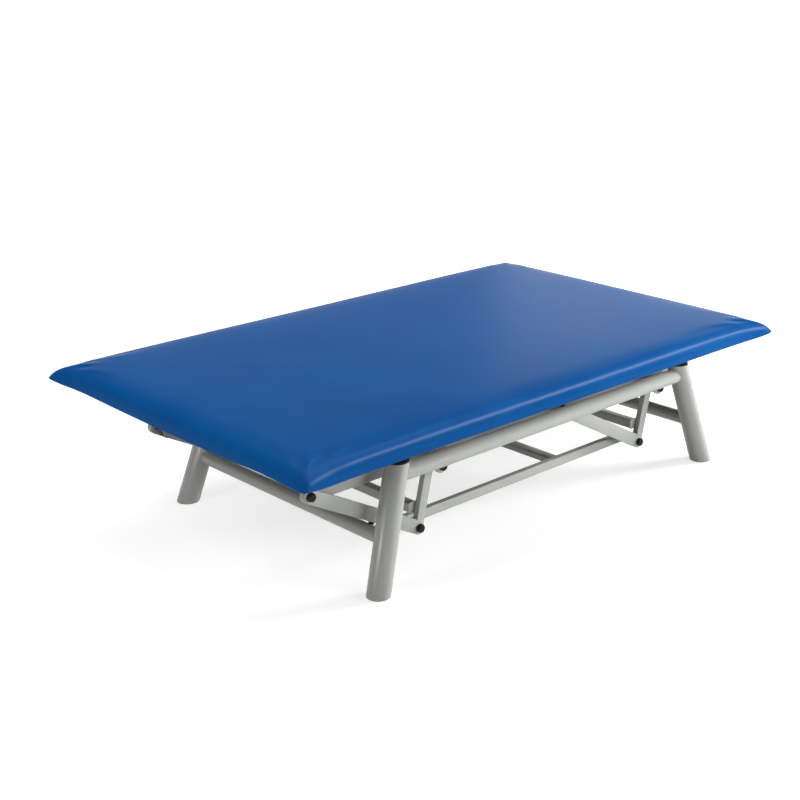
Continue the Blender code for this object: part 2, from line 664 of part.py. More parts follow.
def make_mattress(body):
    levels = [(PAD_TUCK, 0), (0, PAD_TUCK * 2)]
    rise = PAD_THICK - PAD_CROWN - PAD_TUCK * 2
    for i in range(1, PAD_ROLL_FACETS + 1):
        turn = math.radians(90 * i / PAD_ROLL_FACETS)
        levels.append((PAD_ROLL * (1 - math.cos(turn)), PAD_TUCK * 2 + rise * math.sin(turn)))
    for i in range(1, PAD_CROWN_FACETS + 1):
        share = i / PAD_CROWN_FACETS
        levels.append((PAD_ROLL + PAD_PLATEAU * share, PAD_THICK - PAD_CROWN * (1 - share) ** 2))
    bm = bmesh.new()
    rings = [[bm.verts.new(p) for p in pad_ring(inset, PAD_Z + z)] for inset, z in levels]
    for one, two in zip(rings, rings[1:]):
        for i in range(len(one)):
            j = (i + 1) % len(one)
            bm.faces.new((one[i], one[j], two[j], two[i]))
    bm.faces.new(rings[0])
    bm.faces.new(rings[-1])
    add("mattress", bm, "blue_vinyl", body)


for leftover in list(bpy.data.objects):
    bpy.data.objects.remove(leftover, do_unlink=True)

materials = make_materials()
base = pivot("base_origin", 0, 0)
crank_bodies = {end: pivot(f"crank_{end}_axis", x, HINGE_Z) for end, x in HINGES.items()}
left_head, left_heel = crank_points("left")[1:]
tie = pivot("tie_frame_axis", left_heel.x, left_heel.z)
top = pivot("table_top_axis", left_head.x, left_head.z)
actuator = pivot("actuator_axis", ACT_REAR_X, ACT_REAR_Z)
rod = pivot("push_rod_axis", ACT_FRONT_X, ACT_FRONT_Z)

make_legs(base)
make_base_tubes(base)
make_hinges(base)
make_actuator_bracket(base)
for end, body in crank_bodies.items():
    make_crank(end, body)
make_buffers(crank_bodies["left"])
make_tie_frame(tie)
make_actuator(actuator, rod)
make_top_frame(top)
make_platform(top)
make_mattress(top)
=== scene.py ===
import json
import math

import bmesh
import bpy
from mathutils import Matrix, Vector, noise

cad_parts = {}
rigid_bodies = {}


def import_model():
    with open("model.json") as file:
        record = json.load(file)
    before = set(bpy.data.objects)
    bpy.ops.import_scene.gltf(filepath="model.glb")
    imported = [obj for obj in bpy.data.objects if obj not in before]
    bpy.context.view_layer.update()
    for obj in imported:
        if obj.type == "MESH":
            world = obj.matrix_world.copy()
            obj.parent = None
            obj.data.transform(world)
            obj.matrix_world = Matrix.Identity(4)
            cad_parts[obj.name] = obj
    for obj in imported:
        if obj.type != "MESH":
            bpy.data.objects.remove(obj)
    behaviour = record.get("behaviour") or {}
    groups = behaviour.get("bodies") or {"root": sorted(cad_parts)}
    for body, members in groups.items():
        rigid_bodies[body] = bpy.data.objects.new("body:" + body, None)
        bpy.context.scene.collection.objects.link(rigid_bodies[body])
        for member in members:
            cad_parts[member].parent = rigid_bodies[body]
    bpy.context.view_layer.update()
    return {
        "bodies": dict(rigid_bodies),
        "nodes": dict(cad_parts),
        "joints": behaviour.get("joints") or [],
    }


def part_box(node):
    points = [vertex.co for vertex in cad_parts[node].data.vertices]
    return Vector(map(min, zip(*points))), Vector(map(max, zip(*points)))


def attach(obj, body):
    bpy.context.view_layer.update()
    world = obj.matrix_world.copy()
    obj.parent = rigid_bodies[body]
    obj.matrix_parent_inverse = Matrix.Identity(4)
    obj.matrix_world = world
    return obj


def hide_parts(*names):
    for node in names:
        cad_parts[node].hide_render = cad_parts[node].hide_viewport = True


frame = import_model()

scene = bpy.context.scene
sides = {"near": -1, "far": 1}
ends = ("left", "right")
corners = [(f"{sideName}_{end}", side, end) for end in ends for sideName, side in sides.items()]
joints = {joint["name"]: joint for joint in frame["joints"]}
acrossX, acrossY, upZ = Vector((1, 0, 0)), Vector((0, 1, 0)), Vector((0, 0, 1))
midRound = 0.3  # share of its radius at which a rounding in two steps has its middle
print("frame loaded:", len(frame["nodes"]), "nodes")


def lin(hexCode):  # sRGB hex to linear colour
    parts = [int(hexCode[i:i + 2], 16) / 255 for i in (1, 3, 5)]
    return (*(c / 12.92 if c <= 0.04045 else ((c + 0.055) / 1.055) ** 2.4 for c in parts), 1.0)


def feed(tree, node, feeds):  # a feed is a value, an output, or a node for its first output
    for key, value in feeds.items():
        value = value.outputs[0] if isinstance(value, bpy.types.Node) else value
        if isinstance(value, bpy.types.NodeSocket):
            tree.links.new(value, node.inputs[key])
        else:
            node.inputs[key].default_value = value


def addNode(tree, kind, feeds=None, **settings):  # a kind that doesn't say Node is a shader node
    node = tree.nodes.new(kind if "Node" in kind else "ShaderNode" + kind)
    for key, value in settings.items():
        setattr(node, key, value)
    feed(tree, node, feeds or {})
    return node


def addObject(name, data):
    thing = bpy.data.objects.new(name, data)
    scene.collection.objects.link(thing)
    return thing


def aimObject(thing, place, way):  # the camera and the lamps look along their own -Z
    thing.location = place
    thing.rotation_mode = "QUATERNION"
    thing.rotation_quaternion = way.to_track_quat("-Z", "Y")


# camera at the photograph's viewing angle, for a square image

photoView = {
    "place": (-2.9591, -3.0334, 1.7898),
    "yaw": 46.95,  # degrees from +X
    "pitch": 19.29,  # degrees down
    "focal": 1398.3,  # pixels
    "pixels": 800,
    "sensor": 36.0,  # mm
}


def makeCamera(spec):
    yaw, dip = math.radians(spec["yaw"]), math.radians(spec["pitch"])
    data = bpy.data.cameras.new("photoCamera")
    data.sensor_width = spec["sensor"]
    data.lens = spec["focal"] * spec["sensor"] / spec["pixels"]
    scene.camera = addObject("photoCamera", data)
    aimObject(scene.camera, spec["place"],
              Vector((math.cos(yaw) * math.cos(dip), math.sin(yaw) * math.cos(dip), -math.sin(dip))))


makeCamera(photoView)
print("camera placed")


# materials, each named for the real finish

def startMaterial(name, **values):
    material = bpy.data.materials.new(name)
    material.use_nodes = True
    tree = material.node_tree
    shader = tree.nodes["Principled BSDF"]
    feed(tree, shader, {key.replace("_", " "): value for key, value in values.items()})
    return material, tree, shader, addNode(tree, "TexCoord").outputs["Object"]


def mixColours(tree, share, low, high):  # colours are hex codes or outputs, share runs from 0 to 1
    feeds = {key: lin(value) if isinstance(value, str) else value for key, value in ((6, low), (7, high))}
    return addNode(tree, "Mix", {0: share, **feeds}, data_type="RGBA").outputs[2]


def dressShader(tree, shader, spec, colour, gloss=None, relief=None):  # gloss and relief are patterns
    feed(tree, shader, {"Base Color": colour})
    if gloss:
        low, high = spec.get("glossSpan", (0.0, 1.0))
        feed(tree, shader, {"Roughness": addNode(tree, "MapRange", {
            "Value": gloss, "From Min": low, "From Max": high,
            "To Min": spec["rough"][0], "To Max": spec["rough"][1]})})
    if relief:
        feed(tree, shader, {"Normal": addNode(tree, "Bump", {
            "Height": relief, "Distance": spec["depth"], "Strength": spec["bump"]})})


powderCoatSpec = {
    "tint": "#A8AAA6", "shade": "#9C9E9B", "scuff": "#6E7173",
    "blotch": 0.070, "blotchShare": 0.9,  # soft drift of tone, m
    "flake": 0.0016, "flakeShare": 0.55, "flakeShift": -0.05,  # finer in truth, drawn as coarse as shows
    "peel": 0.0026, "depth": 0.00005, "bump": 0.6,  # orange peel of the baked powder, m
    "rub": 0.00625, "rubSpan": (0.52, 0.66),  # patches of the scuffs, m
    "scuffHeight": 0.045, "scuffShare": 0.75,  # kicks and mops reach this high, m
    "glossSpan": (0.3, 0.7), "rough": (0.30, 0.38),
}


def makePowderCoat(spec):
    # silver-grey epoxy powder baked on steel: satin, faint flake, orange peel, scuffs near the floor
    material, tree, shader, spots = startMaterial("powderCoatedSteel", Metallic=0.08, Specular_IOR_Level=0.25)
    drift, flake, peel = (
        addNode(tree, "TexNoise", {"Vector": spots, "Scale": 1 / spec[size], "Detail": detail})
        for size, detail in (("blotch", 3), ("flake", 1), ("peel", 1)))
    rub = addNode(tree, "TexNoise", {"Vector": spots, "Scale": 1 / spec["rub"], "Detail": 4, "Roughness": 0.7})
    share = addNode(tree, "Math", {0: flake, 1: spec["flakeShare"], 2: spec["flakeShift"]},
                    operation="MULTIPLY_ADD")
    both = addNode(tree, "Math", {0: drift, 1: spec["blotchShare"], 2: share},
                   operation="MULTIPLY_ADD", use_clamp=True)
    paint = mixColours(tree, both, spec["shade"], spec["tint"])
    height = addNode(tree, "SeparateXYZ", {0: spots}).outputs["Z"]
    low = addNode(tree, "MapRange", {"Value": height, "From Max": spec["scuffHeight"],
                                               "To Min": spec["scuffShare"], "To Max": 0.0})
    spread = addNode(tree, "MapRange",
                     {"Value": rub, "From Min": spec["rubSpan"][0], "From Max": spec["rubSpan"][1]})
    worn = addNode(tree, "Math", {0: low, 1: spread}, operation="MULTIPLY")
    dressShader(tree, shader, spec, mixColours(tree, worn, paint, spec["scuff"]), drift, peel)
    return material


vinylSpec = {
    # the side colour is a darker blue painted as shade on the lower sides of the cover
    "tint": "#0E579C", "shade": "#0A4F93", "valley": "#08447E", "side": "#0A457C",
    "sideTop": 0.506, "sideLow": 0.478, "sideShare": 0.40,  # painted shade: the cover's sides darken towards the bottom between these heights, m
    "drift": 0.22, "toneSpan": (0.32, 0.68),  # slow change of tone over the cover, m
    "grain": 0.0030, "groove": 0.16, "grooveShare": 0.55,  # pebbles are about 1.2 mm, coarser so that they show; the grooves between them are darkened with painted shade
    "crease": 0.011, "creaseShare": 0.5,  # fine stretch lines, m
    "depth": 0.00016, "bump": 0.5, "glossSpan": (0.3, 0.7), "rough": (0.28, 0.33),
}


def makeVinyl(spec):
    # plasticised PVC on knitted cloth: embossed pebble grain, satin, tone drifts where it is stretched; painted shade
    # darkens the lower sides and the grooves of the grain
    material, tree, shader, spots = startMaterial("blueVinyl", Specular_IOR_Level=0.028)
    drift = addNode(tree, "TexNoise",
                    {"Vector": spots, "Scale": 1 / spec["drift"], "Detail": 2, "Roughness": 0.4})
    tone = addNode(tree, "MapRange",
                   {"Value": drift, "From Min": spec["toneSpan"][0], "From Max": spec["toneSpan"][1]})
    height = addNode(tree, "SeparateXYZ", {0: spots}).outputs["Z"]
    # painted shade: the share of the side colour grows towards the bottom of the cover's sides
    side = addNode(tree, "MapRange",
                   {"Value": height, "From Min": spec["sideLow"], "From Max": spec["sideTop"],
                    "To Min": spec["sideShare"], "To Max": 0.0}, interpolation_type="SMOOTHSTEP")
    pebble = addNode(tree, "TexVoronoi", {"Vector": spots, "Scale": 1 / spec["grain"]},
                     feature="DISTANCE_TO_EDGE").outputs["Distance"]
    # painted shade: the grooves between the pebbles are darkened towards the groove colour
    groove = addNode(tree, "MapRange", {"Value": pebble, "From Max": spec["groove"],
                                                  "To Min": spec["grooveShare"], "To Max": 0.0})
    stretch = addNode(tree, "TexNoise", {"Vector": spots, "Scale": 1 / spec["crease"], "Detail": 2})
    relief = addNode(tree, "Math", {0: stretch, 1: spec["creaseShare"], 2: pebble}, operation="MULTIPLY_ADD")
    cover = mixColours(tree, tone, spec["shade"], spec["tint"])
    cover = mixColours(tree, side, cover, spec["side"])
    dressShader(tree, shader, spec, mixColours(tree, groove, cover, spec["valley"]), drift, relief)
    return material


plainSpecs = {
    # moulded polyethylene: soft satin with a fine eroded skin
    "blackPolyethylene": {"tint": "#121315", "shade": "#0B0C0D", "size": [0.0022] * 3,
                          "depth": 0.00004, "bump": 0.6, "rough": (0.40, 0.50)},
    # cured rubber: dull, slightly dusty
    "blackRubber": {"tint": "#262626", "shade": "#171717", "size": [0.0030] * 3,
                    "depth": 0.00008, "bump": 0.6, "rough": (0.72, 0.85)},
    # moulded ABS: spark-eroded texture
    "blackAbs": {"tint": "#232427", "shade": "#191A1C", "size": [0.0016] * 3,
                 "depth": 0.00007, "bump": 0.6, "rough": (0.46, 0.58)},
    # zinc plate with a clear passivate: bright grey with faint cloudy patches
    "zincPlatedSteel": {"tint": "#BFC3C6", "shade": "#A9AEB4", "size": [0.012] * 3,
                        "rough": (0.24, 0.36)},
    # extruded aluminium: fine lines along the push direction
    "extrudedAluminium": {"tint": "#C6C8CA", "shade": "#AEB1B4", "size": (0.080, 0.0014, 0.0014),
                          "rough": (0.28, 0.40)},
}


def makePlain(name, spec):  # mouldings have a skin with some depth, metals have none
    moulded = "depth" in spec
    values = {"Specular_IOR_Level": 0.2} if moulded else {"Metallic": 1.0}
    material, tree, shader, spots = startMaterial(name, **values)
    place = addNode(tree, "Mapping", {"Vector": spots, "Scale": [1 / s for s in spec["size"]]})
    skin = addNode(tree, "TexNoise", {"Vector": place, "Scale": 1.0, "Detail": 3})
    dressShader(tree, shader, spec, mixColours(tree, skin, spec["shade"], spec["tint"]), skin,
                skin if moulded else None)
    return material


plywoodSpec = {
    # these browns are far darker than birch: painted shade, so that the board's edge reads as the dark line under the
    # mattress
    "light": "#413A34", "dark": "#2C2723", "glue": "#1D1916",
    "grain": (0.160, 0.004, 0.004),  # veneer figure along and across, m
    "ply": 0.0014, "plySpan": (-0.25, 0.25),  # one veneer, m, and how sharply it turns to the next
    "faceFrom": 0.5,  # surfaces that point up or down more than this are faces
    "depth": 0.0001, "bump": 0.4,
}


def makePlywood(spec):
    # birch plywood coloured black-brown as painted shade for the dark line under the mattress: dull, veneer figure on
    # the faces, stacked plies on the edges
    material, tree, shader, spots = startMaterial("stainedBirchPlywood", Roughness=0.62)
    place = addNode(tree, "Mapping", {"Vector": spots, "Scale": [1 / s for s in spec["grain"]]})
    grain = addNode(tree, "TexNoise", {"Vector": place, "Scale": 1.0, "Detail": 4})
    face = mixColours(tree, grain, spec["dark"], spec["light"])
    height = addNode(tree, "SeparateXYZ", {0: spots}).outputs["Z"]
    turns = addNode(tree, "Math", {0: height, 1: math.pi / spec["ply"]}, operation="MULTIPLY")
    wave = addNode(tree, "Math", {0: turns}, operation="SINE")
    layer = addNode(tree, "MapRange",
                    {"Value": wave, "From Min": spec["plySpan"][0], "From Max": spec["plySpan"][1]})
    edge = mixColours(tree, layer, spec["glue"], spec["light"])
    normal = addNode(tree, "TexCoord").outputs["Normal"]
    facing = addNode(tree, "SeparateXYZ", {0: normal}).outputs["Z"]
    flat = addNode(tree, "Math", {0: facing}, operation="ABSOLUTE")
    isFace = addNode(tree, "Math", {0: flat, 1: spec["faceFrom"]}, operation="GREATER_THAN")
    dressShader(tree, shader, spec, mixColours(tree, isFace, edge, face), relief=grain)
    return material


finishes = {"powderCoat": makePowderCoat(powderCoatSpec), "vinyl": makeVinyl(vinylSpec),
            "plywood": makePlywood(plywoodSpec)}
finishes.update({name: makePlain(name, spec) for name, spec in plainSpecs.items()})
print("materials made:", len(finishes))


# mesh code shared by the pieces

def meshFrom(name, bm):
    bmesh.ops.recalc_face_normals(bm, faces=bm.faces)
    mesh = bpy.data.meshes.new(name)
    bm.to_mesh(mesh)
    bm.free()
    return mesh


def takeMesh(thing):  # the mesh with its modifiers applied; the object goes
    mesh = bpy.data.meshes.new_from_object(thing.evaluated_get(bpy.context.evaluated_depsgraph_get()))
    bpy.data.objects.remove(thing)
    return mesh


def camel(node):
    first, *rest = node.split("_")
    return first + "".join(word.capitalize() for word in rest)


def finishPiece(name, source, finish, body, replaced=(), sharp=38):
    mesh = meshFrom(name, source) if isinstance(source, bmesh.types.BMesh) else source
    mesh.shade_smooth()
    mesh.set_sharp_from_angle(angle=math.radians(sharp))
    mesh.materials.clear()
    mesh.materials.append(finishes[finish])
    piece = addObject(name, mesh)
    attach(piece, body)
    if replaced:
        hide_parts(*replaced)
    return piece


def dressNode(node, bm, finish, body, ending=""):  # a piece that stands for one CAD node
    finishPiece(camel(node) + ending, bm, finish, body, [node])


def boxOf(node):
    low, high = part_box(node)
    return (low + high) / 2, high - low


def arcPoints(middle, radius, start, end, count):
    spread = [math.radians(start + (end - start) * i / count) for i in range(count + 1)]
    return [(middle[0] + radius * math.cos(a), middle[1] + radius * math.sin(a)) for a in spread]


def ringPoints(radius, count):
    return arcPoints((0, 0), radius, 0, 360, count)[:-1]


def roundedBox(width, height, radius, count):
    points = []
    for turn, (sx, sy) in enumerate(((1, 1), (-1, 1), (-1, -1), (1, -1))):
        middle = (sx * (width / 2 - radius), sy * (height / 2 - radius))
        points += arcPoints(middle, radius, 90 * turn, 90 * turn + 90, count)
    return points


def joinRings(bm, rings, closed=False, capped=False):
    for one, two in zip(rings, rings[1:] + rings[:1] if closed else rings[1:]):
        for i in range(len(one)):
            j = (i + 1) % len(one)
            bm.faces.new((one[i], one[j], two[j], two[i]))
    for ring in (rings[0], rings[-1]) if capped else ():
        bm.faces.new(ring)


def turnedShape(origin, axis, profile, count=48, closed=False):  # profile points are (radius, distance)
    bm = bmesh.new()
    across = axis.orthogonal().normalized()
    up = axis.cross(across)
    rings = [[bm.verts.new(origin + axis * d + across * u + up * v) for u, v in ringPoints(r, count)]
             for r, d in profile]
    joinRings(bm, rings, closed, not closed)
    return bm


def insetLoop(points, inset, least=0.35):  # least keeps sharp corners from running far in
    moved = []
    area = sum(points[i - 1][0] * p[1] - p[0] * points[i - 1][1] for i, p in enumerate(points))
    hand = 1 if area > 0 else -1
    for i, point in enumerate(points):
        before, here, after = Vector(points[i - 1]), Vector(point), Vector(points[(i + 1) % len(points)])
        one, two = (here - before).normalized(), (after - here).normalized()
        normal = (Vector((-one.y - two.y, one.x + two.x)) * hand).normalized()
        spread = max(normal.dot(Vector((-one.y, one.x)) * hand), least)
        moved.append(here + normal * inset / spread)
    return [(p.x, p.y) for p in moved]


def plateShape(outline, holes, yFrom, yTo, soften):  # a flat outline in X and Z with softened rims
    bm = bmesh.new()
    way = 1 if yTo > yFrom else -1
    steps = ((soften, 0), (soften * midRound, soften * midRound), (0, soften))
    levels = [(inset, yFrom + way * depth) for inset, depth in steps]
    levels += [(inset, yTo - way * depth) for inset, depth in reversed(steps)]
    rings = [[bm.verts.new((x, y, z)) for x, z in insetLoop(outline, inset)] for inset, y in levels]
    walls = [[[bm.verts.new((x, y, z)) for x, z in loop] for y in (yFrom, yTo)] for loop in holes]
    for tube in [rings] + walls:
        joinRings(bm, tube)
    for index in (0, -1):
        rim = []
        for loop in (tube[index] for tube in [rings] + walls):
            rim += [bm.edges.get((loop[i - 1], loop[i])) for i in range(len(loop))]
        bmesh.ops.triangle_fill(bm, use_beauty=True, use_dissolve=False, edges=rim)
    return bm


def sweptShape(start, along, across, sections, cuts):  # a bar and its two end loops; cuts give each line's ends
    bm = bmesh.new()
    up = along.cross(across).normalized()
    rings = []
    for section in sections:
        lines = [start + across * u + up * v for u, v in section]
        pair = [[bm.verts.new(p + along * cut(p, along)) for p in lines] for cut in cuts]
        rings += pair[::-1] if rings else pair
    hollow = len(sections) > 1
    joinRings(bm, rings, hollow, not hollow)
    return bm, [([vert.co.copy() for vert in ring], True) for ring in rings[:2]]


def cutEnd(distance, bottom=0.0, length=0.0, height=1.0):  # with a length, the end's lower corner is cut away
    return lambda point, along: distance + length * max(0.0, 1 - (point.z - bottom) / height)


def cutAgainst(axisPoint, axis, radius, farSide):  # where a line meets a round tube
    def meet(point, along):
        offset = point - axisPoint
        d = along - axis * along.dot(axis)
        o = offset - axis * offset.dot(axis)
        half = o.dot(d)
        root = math.sqrt(half * half - d.dot(d) * (o.dot(o) - radius * radius))
        return (-half + root if farSide else -half - root) / d.dot(d)
    return meet


copySpec = {"merge": 1e-5, "flat": 1, "sharp": 30, "steps": 2}  # angles in degrees


def softCopy(node, width, spec=copySpec):  # a CAD node's mesh, merged, with its edges rounded over
    bm = bmesh.new()
    bm.from_mesh(frame["nodes"][node].data)
    bmesh.ops.remove_doubles(bm, verts=bm.verts, dist=spec["merge"])
    bmesh.ops.dissolve_limit(bm, angle_limit=math.radians(spec["flat"]), verts=bm.verts, edges=bm.edges)
    edges = [edge for edge in bm.edges
             if len(edge.link_faces) == 2 and edge.calc_face_angle() > math.radians(spec["sharp"])]
    bmesh.ops.bevel(bm, geom=edges, offset=width, offset_type="OFFSET", segments=spec["steps"], profile=0.5,
                    affect="EDGES", clamp_overlap=True)
    return bm


# node trees for what repeats

def makeTree(name, onPath):  # a part on each point, turned by its two directions, or every pitch along the paths
    tree = bpy.data.node_groups.new(name, "GeometryNodeTree")
    sockets = {"Geometry": "NodeSocketGeometry", "Part": "NodeSocketObject"}
    if onPath:
        sockets["Pitch"] = "NodeSocketFloat"
    for label, kind in sockets.items():
        tree.interface.new_socket(label, in_out="INPUT", socket_type=kind)
    tree.interface.new_socket("Geometry", in_out="OUTPUT", socket_type="NodeSocketGeometry")
    given = addNode(tree, "NodeGroupInput").outputs
    part = addNode(tree, "GeometryNodeObjectInfo", {"Object": given["Part"]}).outputs["Geometry"]
    points = given["Geometry"]
    if onPath:
        path = addNode(tree, "GeometryNodeMeshToCurve", {"Mesh": points})
        points = addNode(tree, "GeometryNodeResampleCurve", {"Curve": path, "Length": given["Pitch"]},
                         mode="LENGTH")
        turn = addNode(tree, "FunctionNodeAlignRotationToVector",
                       {"Vector": addNode(tree, "GeometryNodeInputTangent")}, axis="X")
    else:
        facing, upright = (addNode(tree, "GeometryNodeInputNamedAttribute", {"Name": label},
                                   data_type="FLOAT_VECTOR").outputs["Attribute"]
                           for label in ("facing", "upright"))
        turn = addNode(tree, "FunctionNodeAxesToRotation", {"Primary Axis": facing, "Secondary Axis": upright})
    placed = addNode(tree, "GeometryNodeInstanceOnPoints", {"Points": points, "Instance": part, "Rotation": turn})
    whole = addNode(tree, "GeometryNodeRealizeInstances", {"Geometry": placed})
    addNode(tree, "NodeGroupOutput", {0: whole})
    return tree


def runTree(tree, bm, mesh, **values):  # gives the repeated parts as a plain mesh
    part, holder = addObject("part", meshFrom("part", bm)), addObject("holder", mesh)
    modifier = holder.modifiers.new("parts", "NODES")
    modifier.node_group = tree
    values["Part"] = part
    for item in tree.interface.items_tree:
        if item.in_out == "INPUT" and item.name in values:
            modifier[item.identifier] = values[item.name]
    result = takeMesh(holder)
    bpy.data.objects.remove(part)
    return result


def placeOnPoints(bm, places):  # places are (point, facing, upright)
    mesh = bpy.data.meshes.new("places")
    mesh.from_pydata([place[0] for place in places], [], [])
    for index, label in ((1, "facing"), (2, "upright")):
        layer = mesh.attributes.new(label, "FLOAT_VECTOR", "POINT")
        layer.data.foreach_set("vector", [c for place in places for c in place[index]])
    return runTree(pointsTree, bm, mesh)


def placeAlong(bm, paths, pitch):  # paths are (points, closed)
    points, edges = [], []
    for path, closed in paths:
        first = len(points)
        points += path
        edges += [(first + i, first + i + 1) for i in range(len(path) - 1)]
        if closed:
            edges.append((len(points) - 1, first))
    mesh = bpy.data.meshes.new("paths")
    mesh.from_pydata(points, edges, [])
    return runTree(pathTree, bm, mesh, Pitch=pitch)


pointsTree, pathTree = makeTree("partsOnPoints", False), makeTree("partsAlongPath", True)
print("node trees made")


# base: splayed legs, side rails and end crossbars

baseSpec = {
    "footX": {"left": -0.632, "right": 0.870}, "footY": 0.455,
    "leanX": {"left": 0.308, "right": -0.308}, "leanY": 0.121,
    "legRadius": 0.035, "legWall": 0.003, "legTop": 0.360, "sole": 0.004, "edge": 0.0014,
    "railRadius": 0.025, "railWall": 0.0025, "railHeight": 0.322,
    "crossRadius": 0.022, "crossWall": 0.0025, "crossHeight": 0.150,
    "gap": 0.0003, "facets": 72,
}
capSpec = {"brim": 0.003, "dome": 0.009, "stem": 0.015, "steps": 6}
weldPaths = {body: [] for body in frame["bodies"]}
railSide = baseSpec["footY"] - baseSpec["leanY"] * baseSpec["railHeight"]


def legLine(end, side):
    foot = Vector((baseSpec["footX"][end], side * baseSpec["footY"], 0))
    return foot, Vector((baseSpec["leanX"][end], -side * baseSpec["leanY"], 1)).normalized()


def crossMiddle(end):
    height = baseSpec["crossHeight"]
    return Vector((baseSpec["footX"][end] + baseSpec["leanX"][end] * height, 0, height))


def leaningShape(foot, axis, levels):  # level cuts through a leaning round tube
    bm = bmesh.new()
    up = axis.cross(acrossX).normalized()
    across = up.cross(axis).normalized()
    rings = []
    for radius, z in levels:
        lines = [foot + across * u + up * v for u, v in ringPoints(radius, baseSpec["facets"])]
        rings.append([bm.verts.new(p + axis * ((z - p.z) / axis.z)) for p in lines])
    joinRings(bm, rings, capped=True)
    return bm


def makeLegs(spec, capped):
    outer, edge, top = spec["legRadius"], spec["edge"], spec["legTop"]
    inner, mid = outer - spec["legWall"], edge * midRound
    wall = ((outer - edge, 0), (outer - mid, mid), (outer, edge), (outer, top - edge), (outer - mid, top - mid),
            (outer - edge, top), (inner, top), (inner, spec["sole"]))
    stem, seat, rise = inner - spec["gap"], top + spec["gap"], capped["dome"] - capped["brim"]
    cap = [(stem, top - capped["stem"]), (stem, seat), (outer, seat),  # then a quarter round and a flat crown
           *arcPoints((outer - rise, seat + capped["brim"]), rise, 0, 90, capped["steps"])]
    for sideName, side in sides.items():
        for end in ends:
            line = legLine(end, side)
            dressNode(f"leg_{sideName}_{end}", leaningShape(*line, wall), "powderCoat", "base")
            dressNode(f"leg_cap_{sideName}_{end}", leaningShape(*line, cap), "blackPolyethylene", "base")


def makeBaseTube(node, middle, along, across, radius, wall, legs):
    fit = baseSpec["legRadius"] + baseSpec["gap"]
    cuts = [cutAgainst(*legLine(*leg), fit, farSide) for leg, farSide in zip(legs, (True, False))]
    sections = [ringPoints(r, baseSpec["facets"]) for r in (radius, radius - wall)]
    bm, loops = sweptShape(middle, along, across, sections, cuts)
    weldPaths["base"] += loops
    dressNode(node, bm, "powderCoat", "base")


makeLegs(baseSpec, capSpec)
for sideName, side in sides.items():
    makeBaseTube(f"side_rail_{sideName}", Vector((0, side * railSide, baseSpec["railHeight"])), acrossX, acrossY,
                 baseSpec["railRadius"], baseSpec["railWall"], [(end, side) for end in ends])
for end in ends:
    makeBaseTube(f"end_crossbar_{end}", crossMiddle(end), acrossY, acrossX,
                 baseSpec["crossRadius"], baseSpec["crossWall"], [(end, side) for side in sides.values()])
print("legs, caps, rails and crossbars made")


# lift: hinge lugs, cranks and tie bars

liftSpec = {
    "topRailOuter": 0.350, "linkGap": 0.002, "linkThick": 0.020, "soften": 0.0016,
    "armDepth": 0.042, "strutWidth": 0.030, "strutLean": 77.0, "eye": 0.020, "hole": 0.0063,
    "lugRadius": 0.022, "lugThick": 0.012, "lugRise": 0.052,
    "beadRise": 0.0105, "beadOut": 0.001,  # fillets where a lug meets the round rail
    "tieOuter": 0.310, "tieThick": 0.020, "tieHeight": 0.030, "facets": 20,
}
hingeAt = {"left": Vector(joints["lift"]["pos_m"]), "right": Vector(joints["right_crank_turn"]["pos_m"])}
headAt, heelAt = ({end: Vector(joints[name]["pos_m"]) + hingeAt[end] - hingeAt["left"] for end in ends}
                  for name in ("head_pivot", "tie_pivot"))
linkIn = liftSpec["topRailOuter"] + liftSpec["linkGap"]
linkOut = linkIn + liftSpec["linkThick"]
lugOut = railSide - baseSpec["railRadius"] - baseSpec["gap"]
lugIn = lugOut - liftSpec["lugThick"]
strutAngle = math.radians(liftSpec["strutLean"])
strutUp = Vector((math.cos(strutAngle), 0, math.sin(strutAngle)))
strutRight = Vector((strutUp.z, 0, -strutUp.x))


def holeLoop(middle):
    return [(middle.x + u, middle.z + v) for u, v in ringPoints(liftSpec["hole"], liftSpec["facets"] * 2)]


def armFrame(end):
    along = (heelAt[end] - headAt[end]).normalized()
    return along, Vector((along.z, 0, -along.x))


def crankLoop(spec, end):  # arm and strut are welded flush, so they read as one plate
    half, deep = spec["strutWidth"] / 2, spec["armDepth"] / 2
    head, heel, hinge = headAt[end], heelAt[end], hingeAt[end]
    below = armFrame(end)[1]
    upper = math.degrees(math.atan2(-below.z, -below.x))
    rightEdge = 360 + math.degrees(math.atan2(strutRight.z, strutRight.x) + math.acos(half / deep))
    eye = (strutRight.dot(hinge - heel), strutUp.dot(hinge - heel))
    meet = math.degrees(math.acos((half - eye[0]) / spec["eye"]))
    top = eye[1] + spec["eye"] * math.sin(math.radians(meet))
    crotch = (half * strutRight.dot(below) - deep) / strutUp.dot(below)
    points = arcPoints((head.x, head.z), deep, upper, upper + 180, spec["facets"])
    points += arcPoints((heel.x, heel.z), deep, upper + 180, rightEdge, spec["facets"])
    strut = [*arcPoints(eye, spec["eye"], -meet, meet, spec["facets"]), (-half, top), (-half, crotch)]
    turned = [heel + strutRight * right + strutUp * up for right, up in strut]
    return points + [(p.x, p.z) for p in turned], turned[-1]


def makeCranks(spec):
    for corner, side, end in corners:
        outline, crotch = crankLoop(spec, end)
        holes = [holeLoop(at[end]) for at in (headAt, heelAt, hingeAt)]
        bm = plateShape(outline, holes, side * linkIn, side * linkOut, spec["soften"])
        finishPiece(camel(f"crank_plate_{corner}"), bm, "powderCoat", "crank_" + end,
                    [f"crank_arm_{corner}", f"crank_strut_{corner}"])
        bead = [crotch + acrossY * side * y for y in (linkIn, (linkIn + linkOut) / 2, linkOut)]
        weldPaths["crank_" + end].append((bead, False))


